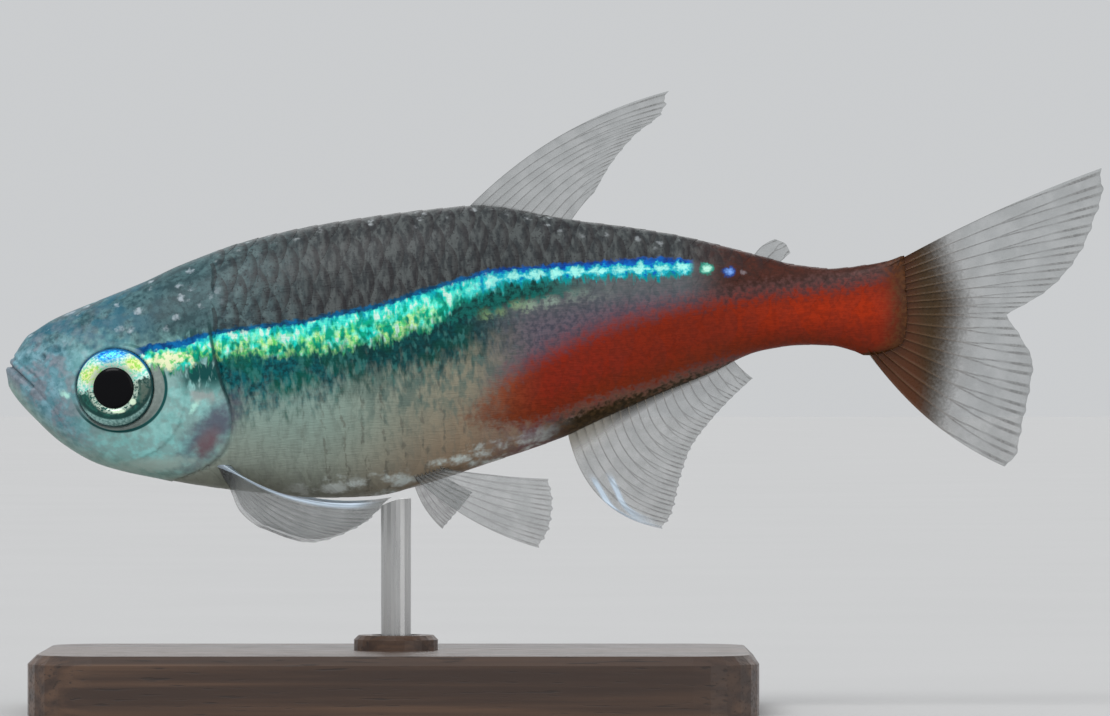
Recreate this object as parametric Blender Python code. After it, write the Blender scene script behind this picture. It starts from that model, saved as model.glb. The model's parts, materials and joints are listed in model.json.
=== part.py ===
"""A still, life-size neon tetra, held over a plain display stand by one rod.

The fish is drawn in its own frame, in millimetres: u runs along the body from the tip of the
snout to the tail, w runs from the midline out through the right flank, and v runs up. An empty
at the snout's tip pitches that frame, so that the tail rides a little higher than the head. The
head points to -X and the left flank to -Y. The origin is the middle of the stand's underside.
"""

import math

import bmesh
import bpy
import numpy as np
from mathutils import Matrix, Vector

# Driving sizes, in millimetres
MM = 0.001
STANDARD_LENGTH = 30.0
BODY_END = STANDARD_LENGTH + 0.4
SNOUT_PLACE = (-13.03, 0.0, 11.07)
PITCH_DEGREES = 4.45
GAP = 0.3

# The outline of the back and of the belly, as (distance from the snout, height over its tip)
BACK = (
    (0.0, 0.0), (0.25, 0.60), (0.55, 1.06), (0.85, 1.39), (1.15, 1.55), (1.65, 1.82),
    (3.36, 2.40), (4.84, 2.87), (6.1, 3.34), (8.5, 3.98), (11.0, 4.33), (14.5, 4.54),
    (15.8, 4.56), (19.2, 3.84), (22.5, 3.10), (25.4, 2.15), (26.5, 1.77), (28.0, 1.53),
    (29.2, 1.60), (30.4, 1.84),
)
BELLY = (
    (0.0, 0.0), (0.16, -0.52), (0.8, -1.40), (1.72, -2.38), (2.93, -3.18), (5.5, -3.96),
    (7.8, -4.46), (10.6, -4.88), (12.0, -4.93), (13.5, -4.70), (15.9, -4.12), (18.4, -3.46),
    (19.5, -3.05), (21.4, -2.37), (23.4, -1.73), (25.2, -1.10), (26.3, -1.01), (27.5, -1.11),
    (28.2, -1.34), (29.2, -1.78), (30.4, -1.98),
)
HALF_WIDTH = (
    (0.0, 0.0), (0.3, 0.64), (1.2, 1.26), (2.4, 1.66), (3.7, 1.92), (5.5, 2.12), (7.5, 2.22),
    (11.0, 2.22), (13.0, 2.12), (16.0, 1.80), (19.0, 1.42), (22.0, 1.08), (25.0, 0.80),
    (27.5, 0.60), (30.4, 0.40),
)
WIDEST_AT = 0.5
SECTION_POWER = 2.15
BODY_RINGS = 54
BODY_SIDES = 32
RING_CROWDING = 1.5

# The cuts that part the body, each a line in side view from the back down
CUT_REACH = 6.0
GILL_LINE = (
    (7.10, 5.20), (7.00, 3.30), (6.95, 1.70), (7.00, 0.60), (7.17, -0.60),
    (7.45, -1.80), (7.25, -2.75), (6.60, -3.40), (5.75, -3.90), (5.20, -4.80),
)
STALK_LINE = ((24.75, 3.60), (24.75, -2.60))
TAIL_ROOT_LINE = ((30.06, 2.60), (30.04, 1.20), (30.02, -0.60), (29.42, -1.42), (28.75, -2.70))
JAW_LINE = (
    (-0.50, 1.05), (0.05, 0.52), (0.27, 0.31), (0.60, -0.03), (0.93, -0.38),
    (1.40, -1.00), (1.85, -1.80), (2.30, -3.60),
)

# The head
EYE_PLACE = (3.70, -0.62)
EYE_RADIUS = 1.33
PUPIL_RADIUS = 0.68
EYE_PROUD = 0.26
EYE_DEPTH = 0.80
LIP_RADIUS = 0.16
LIP_FROM_LINE = 0.28
LIP_REACH = 1.0
LIP_SUNK = 0.045
NOSTRILS = ((1.38, 0.62, 0.12), (1.82, 0.80, 0.17))
GILL_COVER_FRONT = (
    (6.16, 1.62), (6.06, 0.60), (5.97, -0.60), (5.76, -1.60), (5.36, -2.42), (4.92, -2.98),
)
GILL_COVER_SPAN = (0.322, 0.795)
GILL_COVER_THICK = 0.55
GILL_COVER_PROUD = 0.07
BED_RISE = 1.0
BED_MARGIN = 0.34
CHEEK_RIDGE = 0.10

# The fins
FIN_THICK = 0.50
FIN_ROOT_SWELL = 1.2
FIN_TIP_THIN = 0.55
RAY_RIDGE = 0.09
RAY_SHARE = 0.27
WEB_NOTCH = 0.012

# The stand
BASE_LENGTH = 24.0
BASE_DEPTH = 14.0
BASE_HEIGHT = 2.0
BASE_CORNER = 2.2
BASE_CHAMFER = 0.3
COLLAR_RADIUS = 1.4
COLLAR_HEIGHT = 0.5
COLLAR_FOOT = 1.0
COLLAR_ROUND = 0.15
ROD_RADIUS = 0.5
ROD_SOCKET_FLOOR = 0.8
ROD_SIDES = 20


def clear_scene():
    for thing in list(bpy.data.objects):
        bpy.data.objects.remove(thing, do_unlink=True)


# Curves through a few named points


def through(points, x):
    """The height at x of a smooth curve through (x, y) points, which never overshoots them."""
    xs, ys = np.array(points, float).T
    x = np.asarray(x, float)
    rise = np.diff(ys) / np.diff(xs)
    before, after = rise[:-1], rise[1:]
    same_way = before * after > 0
    total = np.where(same_way, before + after, 1.0)
    inner = np.where(same_way, 2 * before * after / total, 0.0)
    slope = np.concatenate([rise[:1], inner, rise[-1:]])
    k = np.clip(np.searchsorted(xs, x, side="right") - 1, 0, len(xs) - 2)
    span = xs[k + 1] - xs[k]
    t = (x - xs[k]) / span
    return (
        (1 + 2 * t) * (1 - t) ** 2 * ys[k]
        + t * (1 - t) ** 2 * span * slope[k]
        + t * t * (3 - 2 * t) * ys[k + 1]
        + t * t * (t - 1) * span * slope[k + 1]
    )


def curve(points, t):
    """A smooth curve through points of any dimension, with t from 0 at the first to 1 at the last."""
    points = np.array(points, float)
    steps = np.linalg.norm(np.diff(points, axis=0), axis=1)
    along = np.concatenate([[0.0], np.cumsum(steps)]) / steps.sum()
    columns = [through(np.column_stack([along, column]), t) for column in points.T]
    return np.stack(columns, axis=-1)


def shifted(line, by):
    """A side-view line moved sideways by a distance, to the left of the way that it runs."""
    way = np.gradient(line, axis=0)
    way /= np.linalg.norm(way, axis=1, keepdims=True)
    return line + by * np.column_stack([-way[:, 1], way[:, 0]])


# The body's surface


def profile(points, u):
    """A body outline, read against the root of u, which makes the snout round."""
    return through([(math.sqrt(x), y) for x, y in points], np.sqrt(np.maximum(u, 0.0)))


def section(u):
    """The height of the widest level, the reach above and below it, and the half width at u."""
    back, belly = profile(BACK, u), profile(BELLY, u)
    level = belly + (back - belly) * WIDEST_AT
    return level, back - level, level - belly, profile(HALF_WIDTH, u)


def skin_point(u, angle):
    """A point of the body's surface, with the angle from 0 at the back round by the right flank."""
    level, above, below, wide = section(u)
    side, rise = np.sin(angle), np.cos(angle)
    power = 2 / SECTION_POWER
    w = wide * np.sign(side) * np.abs(side) ** power
    v = level + np.where(rise > 0, above, below) * np.sign(rise) * np.abs(rise) ** power
    return np.stack(np.broadcast_arrays(u, w, v), axis=-1)


def flank(u, v):
    """How far the flank stands from the midline at a place in side view."""
    level, above, below, wide = section(u)
    reach = np.maximum(np.where(v > level, above, below), 1e-6)
    rise = np.abs(v - level) / reach
    return wide * np.maximum(1 - rise**SECTION_POWER, 0.0) ** (1 / SECTION_POWER)


def on_flank(u, v, side):
    """Points of one flank, side -1 for the left and 1 for the right, and their outward normals."""
    step = 0.02
    u, v = np.broadcast_arrays(np.asarray(u, float), np.asarray(v, float))
    w = flank(u, v)
    along = (flank(u + step, v) - flank(u - step, v)) / (2 * step)
    up = (flank(u, v + step) - flank(u, v - step)) / (2 * step)
    normal = np.stack([-along, np.full_like(w, side), -up], axis=-1)
    normal /= np.linalg.norm(normal, axis=-1, keepdims=True)
    return np.stack([u, side * w, v], axis=-1), normal


# Making and joining meshes


def add_mesh(name, points, faces):
    """A closed mesh, its points in millimetres, with its faces turned out and shaded smooth."""
    mesh = bpy.data.meshes.new(name)
    bm = bmesh.new()
    verts = [bm.verts.new(Vector(point) * MM) for point in points]
    for face in faces:
        bm.faces.new([verts[i] for i in face])
    bmesh.ops.recalc_face_normals(bm, faces=bm.faces)
    bm.to_mesh(mesh)
    bm.free()
    thing = bpy.data.objects.new(name, mesh)
    bpy.context.scene.collection.objects.link(thing)
    return thing


def ring_faces(rings, sides, first=0):
    """The quads between neighbouring rings of points that are numbered ring by ring."""
    return [
        (
            first + r * sides + s,
            first + r * sides + (s + 1) % sides,
            first + (r + 1) * sides + (s + 1) % sides,
            first + (r + 1) * sides + s,
        )
        for r in range(rings - 1)
        for s in range(sides)
    ]


def combine(target, tools, operation):
    """One Boolean of the target with the tools, applied, after which the tools are gone."""
    group = bpy.data.collections.new("tools")
    for tool in tools:
        group.objects.link(tool)
    step = target.modifiers.new("combine", "BOOLEAN")
    step.operation = operation
    step.solver = "EXACT"
    step.operand_type = "COLLECTION"
    step.collection = group
    graph = bpy.context.evaluated_depsgraph_get()
    made = bpy.data.meshes.new_from_object(target.evaluated_get(graph))
    target.modifiers.clear()
    target.data = made
    for tool in tools:
        bpy.data.objects.remove(tool, do_unlink=True)
    bpy.data.collections.remove(group)
    keep_largest(target)
    return target


def keep_largest(thing):
    """Drops every closed surface of a mesh but the one with the largest volume."""
    bm = bmesh.new()
    bm.from_mesh(thing.data)
    left, shells = set(bm.faces), []
    while left:
        shell, edge_of = set(), [left.pop()]
        while edge_of:
            face = edge_of.pop()
            shell.add(face)
            for edge in face.edges:
                for other in edge.link_faces:
                    if other in left:
                        left.remove(other)
                        edge_of.append(other)
        shells.append(shell)
    shells.sort(key=shell_volume, reverse=True)
    loose = [face for shell in shells[1:] for face in shell]
    bmesh.ops.delete(bm, geom=loose, context="FACES")
    bm.to_mesh(thing.data)
    bm.free()


def shell_volume(faces):
    """The volume inside a closed set of faces, from the pyramids over the origin."""
    total = 0.0
    for face in faces:
        corners = [vert.co for vert in face.verts]
        for a, b in zip(corners[1:-1], corners[2:]):
            total += corners[0].dot(a.cross(b)) / 6
    return abs(total)


def copy_of(thing, name):
    twin = bpy.data.objects.new(name, thing.data.copy())
    bpy.context.scene.collection.objects.link(twin)
    return twin


def prism(name, outline):
    """A side-view outline pushed out to both sides of the midline."""
    count = len(outline)
    points = [(u, side * CUT_REACH, v) for side in (-1, 1) for u, v in outline]
    faces = ring_faces(2, count) + [tuple(range(count)), tuple(range(count, 2 * count))]
    return add_mesh(name, points, faces)


def ellipsoid(name, centre, radii, axis=(0, 1, 0), sides=16, rings=8):
    """A ball stretched to three radii, the last along its axis."""
    bm = bmesh.new()
    turn = Vector(axis).to_track_quat("Z", "Y").to_matrix().to_4x4()
    stretch = Matrix.Diagonal((*(Vector(radii) * MM), 1))
    place = Matrix.Translation(Vector(centre) * MM) @ turn @ stretch
    bmesh.ops.create_uvsphere(bm, u_segments=sides, v_segments=rings, radius=1, matrix=place)
    mesh = bpy.data.meshes.new(name)
    bm.to_mesh(mesh)
    bm.free()
    thing = bpy.data.objects.new(name, mesh)
    bpy.context.scene.collection.objects.link(thing)
    return thing


def turned(name, outline, centre, axis, sides):
    """A profile of (radius, height) pairs turned about an axis, with a point at each end."""
    turn = Vector(axis).to_track_quat("Z", "Y")
    middle = Vector(centre)
    points = [middle + turn @ Vector((0, 0, outline[0][1]))]
    for radius, height in outline[1:-1]:
        for k in range(sides):
            a = 2 * math.pi * k / sides
            arm = Vector((radius * math.cos(a), radius * math.sin(a), height))
            points.append(middle + turn @ arm)
    points.append(middle + turn @ Vector((0, 0, outline[-1][1])))
    rings = len(outline) - 2
    last = 1 + (rings - 1) * sides
    faces = ring_faces(rings, sides, 1)
    for k in range(sides):
        after = (k + 1) % sides
        faces.append((0, 1 + after, 1 + k))
        faces.append((last + k, last + after, len(points) - 1))
    return add_mesh(name, points, faces)


def tube(name, path, radii, sides=8):
    """A round bar along a path, its radius given at each point, with flat ends."""
    way = np.gradient(path, axis=0)
    way /= np.linalg.norm(way, axis=1, keepdims=True)
    level = np.cross(way, (0.0, 0.0, 1.0))
    level /= np.linalg.norm(level, axis=1, keepdims=True)
    upright = np.cross(level, way)
    points = []
    for middle, a, b, radius in zip(path, level, upright, radii):
        for k in range(sides):
            turn = 2 * math.pi * k / sides
            points.append(middle + radius * (a * math.cos(turn) + b * math.sin(turn)))
    last = (len(path) - 1) * sides
    ends = [tuple(range(sides)), tuple(range(last, last + sides))]
    return add_mesh(name, points, ring_faces(len(path), sides) + ends)


# The body and the pieces that it is cut into


def whole_body():
    """The body as rings round a line from snout to tail, closer together on the head."""
    stations = BODY_END * (np.arange(1, BODY_RINGS + 1) / BODY_RINGS) ** RING_CROWDING
    angles = 2 * math.pi * np.arange(BODY_SIDES) / BODY_SIDES
    points = skin_point(stations[:, None], angles[None, :]).reshape(-1, 3).tolist()
    points.append((0.0, 0.0, 0.0))
    tip = len(points) - 1
    faces = ring_faces(BODY_RINGS, BODY_SIDES)
    faces += [(tip, (k + 1) % BODY_SIDES, k) for k in range(BODY_SIDES)]
    last = (BODY_RINGS - 1) * BODY_SIDES
    faces.append(tuple(range(last, last + BODY_SIDES)))
    return add_mesh("body", points, faces)


def cut_line(points, count, by):
    """A cut's edge on one side of its line: by is half the gap, with its sign for the side."""
    return shifted(curve(points, np.linspace(0, 1, count)), by).tolist()


def body_piece(body, name, front, rear):
    """The stretch of body between two side-view lines that both run down from the back."""
    front = [(front[0][0], CUT_REACH)] + front + [(front[-1][0], -CUT_REACH)]
    rear = [(rear[0][0], CUT_REACH)] + rear + [(rear[-1][0], -CUT_REACH)]
    keep = prism("keep", front + rear[::-1])
    return combine(copy_of(body, name), [keep], "INTERSECT")


def head_and_jaw(body):
    """The head in front of the gill line, and the lower jaw that the line of the mouth frees."""
    gill = cut_line(GILL_LINE, 22, -GAP / 2)
    head = body_piece(body, "head", [(-CUT_REACH, 0.0)], gill)
    below = [(-CUT_REACH, -CUT_REACH), (-CUT_REACH, JAW_LINE[0][1])]
    hinge = JAW_LINE[-1][0]
    jaw_area = below + cut_line(JAW_LINE, 18, -GAP / 2) + [(hinge, -CUT_REACH)]
    rest_area = below + cut_line(JAW_LINE, 18, GAP / 2) + [(hinge + GAP, -CUT_REACH)]
    jaw = combine(copy_of(head, "lower_jaw"), [prism("keep", jaw_area)], "INTERSECT")
    combine(head, [prism("cut", rest_area)], "DIFFERENCE")
    return head, jaw


def lip(name, from_line):
    """A lip round the front of the snout, along the mouth's line, thinner at its corners."""
    side_view = shifted(curve(JAW_LINE, np.linspace(0.05, 0.45, 160)), from_line)
    inside = side_view[:, 0] < LIP_REACH
    u, v = side_view[inside].T
    w = flank(u, v)
    shown = w > 0.02
    half = np.column_stack([u + LIP_SUNK, w * (1 - LIP_SUNK), v])[shown]
    path = np.concatenate([half[::-1], half * (1, -1, 1)])
    steps = np.linalg.norm(np.diff(path, axis=0), axis=1)
    along = np.concatenate([[0.0], np.cumsum(steps)])
    even = np.linspace(0, along[-1], 19)
    path = np.column_stack([np.interp(even, along, column) for column in path.T])
    swell = np.sin(np.linspace(0.12, 0.88, len(path)) * math.pi) ** 0.6
    return tube(name, path, LIP_RADIUS * swell)


def eye_axis(side):
    """The eye's middle on the head's surface, and the way that it looks out."""
    place, normal = on_flank(*EYE_PLACE, side)
    return Vector(place), Vector(normal)


def eye(side, name):
    """The ball with its pupil sunk a little in the iris, as a turned shape."""
    outline = (
        (0.0, EYE_PROUD - 0.04), (PUPIL_RADIUS * 0.55, EYE_PROUD - 0.05),
        (PUPIL_RADIUS, EYE_PROUD - 0.10), (PUPIL_RADIUS + 0.05, EYE_PROUD),
        (EYE_RADIUS * 0.78, EYE_PROUD - 0.08), (EYE_RADIUS * 0.93, EYE_PROUD - 0.22),
        (EYE_RADIUS, EYE_PROUD - 0.42), (EYE_RADIUS * 0.90, -EYE_DEPTH * 0.55),
        (EYE_RADIUS * 0.60, -EYE_DEPTH * 0.88), (0.0, -EYE_DEPTH),
    )
    place, look = eye_axis(side)
    return turned(name, outline, place, look, 24)


def eye_socket(side):
    """The room that the ball needs in the head, with the gap all round it."""
    outline = (
        (0.0, 1.2), (EYE_RADIUS + GAP, 1.2), (EYE_RADIUS + GAP, EYE_PROUD - 0.42),
        (EYE_RADIUS * 0.90 + GAP, -EYE_DEPTH * 0.55 - 0.12),
        (EYE_RADIUS * 0.60 + GAP, -EYE_DEPTH * 0.88 - GAP), (0.0, -EYE_DEPTH - GAP),
    )
    place, look = eye_axis(side)
    return turned("socket", outline, place, look, 24)


def cover_plate(name, side, outer, inner, margin=0.0):
    """The curved plate over one side's gills, from outer down to inner, with a margin round it."""
    front = curve(GILL_COVER_FRONT, np.linspace(0, 1, 10))
    rear = shifted(curve(GILL_LINE, np.linspace(*GILL_COVER_SPAN, 10)), -GAP / 2)
    across = (0.0, 0.12, 0.24, 0.34, 0.44, 0.62, 0.82, 1.0)
    lift = outer + np.array([0.0, 0.4, 1.0, 0.4, 0.0, 0.0, 0.0, 0.0]) * CHEEK_RIDGE
    share = np.array(across)[None, :, None]
    view = front[:, None] * (1 - share) + rear[:, None] * share
    place, normal = on_flank(view[..., 0], view[..., 1], side)
    place = widened(place, margin)
    outside = place + normal * lift[None, :, None]
    inside = place - normal * inner
    return sheet_solid(name, outside, inside)


def widened(grid, margin):
    """A grid of points with its four edges moved outwards by a margin, along the sheet."""
    grid = grid.copy()
    for lines in (grid, grid.swapaxes(0, 1)):
        for edge, beside in ((0, 1), (-1, -2)):
            step = lines[edge] - lines[beside]
            lines[edge] += step / np.linalg.norm(step, axis=-1, keepdims=True) * margin
    return grid


def sheet_solid(name, outside, inside):
    """A closed plate between two grids of points, both split into triangles the same way."""
    rows, columns = outside.shape[:2]
    points = np.concatenate([outside.reshape(-1, 3), inside.reshape(-1, 3)]).tolist()
    under = rows * columns
    faces = []
    for r in range(rows - 1):
        for c in range(columns - 1):
            a = r * columns + c
            b, d, e = a + 1, a + columns, a + columns + 1
            faces += [(a, b, e), (a, e, d)]
            faces += [(under + a, under + e, under + b), (under + a, under + d, under + e)]
    rim = [c for c in range(columns)]
    rim += [r * columns + columns - 1 for r in range(1, rows)]
    rim += [(rows - 1) * columns + c for c in range(columns - 2, -1, -1)]
    rim += [r * columns for r in range(rows - 2, 0, -1)]
    for a, b in zip(rim, rim[1:] + rim[:1]):
        faces += [(a, under + a, under + b), (a, under + b, b)]
    return add_mesh(name, points, faces)


def gill_cover(side, name):
    """The bony cover over the gills, its rear edge at the gill line, with the cheek's ridge."""
    return cover_plate(name, side, GILL_COVER_PROUD, GILL_COVER_THICK)


def gill_cover_bed(side):
    """The bed in the head that the cover lies in, with the gap in front, above, below and under."""
    return cover_plate("bed", side, BED_RISE, GILL_COVER_THICK + GAP, BED_MARGIN)


def make_head(body):
    head, jaw = head_and_jaw(body)
    combine(head, [lip("upper_lip", LIP_FROM_LINE)], "UNION")
    combine(jaw, [lip("lower_lip", -LIP_FROM_LINE)], "UNION")
    cutters = []
    for side in (-1, 1):
        cutters += [eye_socket(side), gill_cover_bed(side)]
        for u, v, radius in NOSTRILS:
            place, normal = on_flank(u, v, side)
            cutters.append(ellipsoid("nostril", place, (radius, radius, 0.2), normal, 10, 6))
    combine(head, cutters, "DIFFERENCE")
    return head, jaw


# The fins


def ray_columns(rays):
    """Places across a fin, three to a ray: its crest and its two feet, and where the crests are."""
    places, crests = [], []
    step = 1 / (rays - 1)
    for k in range(rays):
        for part in (-1, 0, 1):
            place = (k + part * RAY_SHARE) * step
            if 0 <= place <= 1:
                places.append(place)
                crests.append(1.0 if part == 0 else 0.0)
    return np.array(places), np.array(crests)


def fin(name, rays, rows, root, tip, bulge):
    """One fin as a closed plate, from a root line to the ray tips, each ray a ridge on both faces.

    root, tip and bulge are lists of (u, w, v): the root's line and the tips' line from the
    leading ray to the last one, and how far the rays bow out of straight at each of them.
    """
    across, crest = ray_columns(rays)
    along = np.linspace(0, 1, rows)[:, None] * (1 - WEB_NOTCH * (1 - crest))[None, :]
    start, end = curve(root, across), curve(tip, across)
    middle = (start + end) / 2 + curve(bulge, across)
    t = along[..., None]
    place = (1 - t) ** 2 * start + 2 * t * (1 - t) * middle + t * t * end
    normal = np.cross(np.gradient(place, axis=1), np.gradient(place, axis=0))
    normal /= np.linalg.norm(normal, axis=-1, keepdims=True)
    plate = through(((0, FIN_ROOT_SWELL), (0.2, 1), (0.8, 1), (1, FIN_TIP_THIN)), along)
    ridge = through(((0, 0.6), (0.15, 1), (0.7, 1), (1, 0.5)), along) * crest[None, :]
    half = FIN_THICK / 2 * plate + RAY_RIDGE * ridge
    lift = normal * half[..., None]
    return sheet_solid(name, place + lift, place - lift)


def along_back(first, last, count=9):
    """A fin's root over the back, the gap above it, from u first to u last."""
    u = np.linspace(first, last, count)
    return [(x, 0.0, float(profile(BACK, x)) + GAP) for x in u]


def along_belly(first, last, count=9):
    u = np.linspace(first, last, count)
    return [(x, 0.0, float(profile(BELLY, x)) - GAP) for x in u]


def on_side(view, side, off):
    """Side-view places set on one flank and lifted off it."""
    place, normal = on_flank(*np.array(view, float).T, side)
    return (place + normal * off).tolist()


def mirrored(points, side):
    return [(u, side * w, v) for u, w, v in points]


def dorsal_fin():
    tips = (
        (22.8, 0.1, 7.82), (22.62, 0.1, 7.2), (21.6, 0.05, 6.45), (20.75, 0.0, 5.6),
        (20.05, 0.0, 4.62),
    )
    bows = ((-0.46, 0, 1.0), (-0.2, 0, 0.5), (0, 0, 0.12))
    return fin("dorsal_fin", 11, 8, along_back(15.75, 19.15), tips, bows)


def adipose_fin():
    tips = ((25.95, 0, 2.62), (26.3, 0, 2.42), (26.42, 0, 2.12))
    bows = ((-0.12, 0, 0.16), (0, 0, 0.05), (0, 0, 0))
    return fin("adipose_fin", 3, 4, along_back(25.15, 25.95), tips, bows)


def tail_root(first, last):
    """Part of the tail fin's root line, the gap behind the tail stalk's end."""
    line = shifted(curve(TAIL_ROOT_LINE, np.linspace(first, last, 9)), GAP / 2)
    return [(u, 0.0, v) for u, v in line]


def caudal_upper():
    tips = (
        (37.0, 0.35, 4.14), (37.02, 0.35, 3.5), (36.65, 0.3, 2.45), (36.1, 0.25, 1.4),
        (34.95, 0.15, 0.25), (33.6, 0.1, -0.42),
    )
    bows = ((-0.1, 0, 0.5), (0, 0, 0.15), (0, 0, -0.05))
    return fin("caudal_fin_upper", 10, 9, tail_root(0.155, 0.485), tips, bows)


def caudal_lower():
    tips = (
        (33.03, 1.05, -5.55), (33.42, 1.0, -5.28), (33.74, 0.8, -4.2), (34.06, 0.5, -3.06),
        (34.23, 0.3, -2.14), (33.96, 0.2, -1.5), (33.5, 0.12, -0.82),
    )
    bows = ((-0.47, -0.2, -0.52), (-0.1, -0.15, -0.3), (0, -0.05, -0.05))
    return fin("caudal_fin_lower", 9, 9, tail_root(0.54, 0.86)[::-1], tips, bows)


def anal_fin():
    tips = (
        (21.45, 0, -6.72), (21.8, 0, -6.3), (22.2, 0, -5.1), (22.6, 0, -4.15),
        (23.3, 0, -3.3), (24.1, 0, -2.55), (24.85, 0, -1.95),
    )
    bows = ((-1.1, 0, -1.05), (-0.6, 0, -0.5), (-0.2, 0, -0.2), (-0.05, 0, -0.05))
    return fin("anal_fin", 18, 7, along_belly(18.55, 24.2), tips, bows)


def pectoral_fin(side, name):
    root = on_side(((6.95, -3.42), (7.15, -3.75), (7.25, -4.08)), side, 0.60)
    tips = ((12.5, 2.75, -5.0), (11.5, 2.8, -5.8), (9.95, 2.7, -6.22), (8.2, 2.3, -5.6))
    bows = ((-0.3, 0.7, -1.0), (-0.4, 0.55, -0.4))
    return fin(name, 10, 7, root, mirrored(tips, side), mirrored(bows, side))


def pelvic_fin(side, name, root_view, tips, bow):
    root = on_side(root_view, side, 0.5)
    bows = (bow, (0.0, 0.25, -0.1))
    return fin(name, 8, 7, root, mirrored(tips, side), mirrored(bows, side))


# The stand


def stand_base():
    """A flat slab with round corners and a chamfered top edge, and a low collar for the rod."""
    outline = []
    for corner, (x, y) in enumerate(((1, 1), (-1, 1), (-1, -1), (1, -1))):
        for k in range(7):
            a = math.radians(90 * corner + 15 * k)
            outline.append((x, y, math.cos(a), math.sin(a)))
    levels = (
        (0.0, 0.0), (BASE_HEIGHT - BASE_CHAMFER, 0.0), (BASE_HEIGHT, BASE_CHAMFER),
    )
    points = []
    for height, inset in levels:
        radius = BASE_CORNER - inset
        for x, y, c, s in outline:
            middle = (x * (BASE_LENGTH / 2 - BASE_CORNER), y * (BASE_DEPTH / 2 - BASE_CORNER))
            points.append((middle[0] + radius * c, middle[1] + radius * s, height))
    count = len(outline)
    ends = [tuple(range(count)), tuple(range(2 * count, 3 * count))]
    base = add_mesh("stand_base", points, ring_faces(3, count) + ends)
    top = BASE_HEIGHT + COLLAR_HEIGHT
    collar = (
        (0, COLLAR_FOOT), (COLLAR_RADIUS, COLLAR_FOOT), (COLLAR_RADIUS, top - COLLAR_ROUND),
        (COLLAR_RADIUS - COLLAR_ROUND, top), (0, top),
    )
    hole = ROD_RADIUS + GAP
    socket = ((0, ROD_SOCKET_FLOOR), (hole, ROD_SOCKET_FLOOR), (hole, top + 1), (0, top + 1))
    combine(base, [turned("collar", collar, (0, 0, 0), (0, 0, 1), 28)], "UNION")
    return combine(base, [turned("socket", socket, (0, 0, 0), (0, 0, 1), 24)], "DIFFERENCE")


def belly_over(x, y):
    """The height of the belly's underside over a place on the stand, in the stand's frame."""
    tilt = math.radians(PITCH_DEGREES)
    v = -4.9
    for _ in range(6):
        u = (x - SNOUT_PLACE[0] + v * math.sin(tilt)) / math.cos(tilt)
        level, _, below, wide = section(u)
        v = level - below * (1 - min(abs(y) / wide, 0.99) ** SECTION_POWER) ** (1 / SECTION_POWER)
    return float(SNOUT_PLACE[2] + u * math.sin(tilt) + v * math.cos(tilt))


def stand_rod():
    """A round rod whose head is shaped to the belly, the gap below it."""
    foot = ROD_SOCKET_FLOOR + GAP
    points = []
    for share in (0.0, 1.0):
        for k in range(ROD_SIDES):
            a = 2 * math.pi * k / ROD_SIDES
            x, y = ROD_RADIUS * math.cos(a), ROD_RADIUS * math.sin(a)
            head = belly_over(x, y) - GAP
            points.append((x, y, foot + (head - foot) * share))
    points.append((0, 0, belly_over(0, 0) - GAP))
    top = len(points) - 1
    faces = ring_faces(2, ROD_SIDES) + [tuple(range(ROD_SIDES))]
    faces += [(ROD_SIDES + k, ROD_SIDES + (k + 1) % ROD_SIDES, top) for k in range(ROD_SIDES)]
    return add_mesh("stand_rod", points, faces)


# Colours, and the whole


def finish(name, colour, roughness, metallic=0.0, alpha=1.0):
    made = bpy.data.materials.new(name)
    made.use_nodes = True
    shader = made.node_tree.nodes["Principled BSDF"]
    shader.inputs["Base Color"].default_value = (*colour, 1)
    shader.inputs["Roughness"].default_value = roughness
    shader.inputs["Metallic"].default_value = metallic
    shader.inputs["Alpha"].default_value = alpha
    return made


def settle(thing, material, parent=None):
    """Gives a piece its colour and its shading, and hangs it on the frame that it was drawn in."""
    thing.data.materials.clear()
    thing.data.materials.append(material)
    thing.data.shade_smooth()
    thing.data.set_sharp_from_angle(angle=math.radians(40))
    thing.parent = parent


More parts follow.
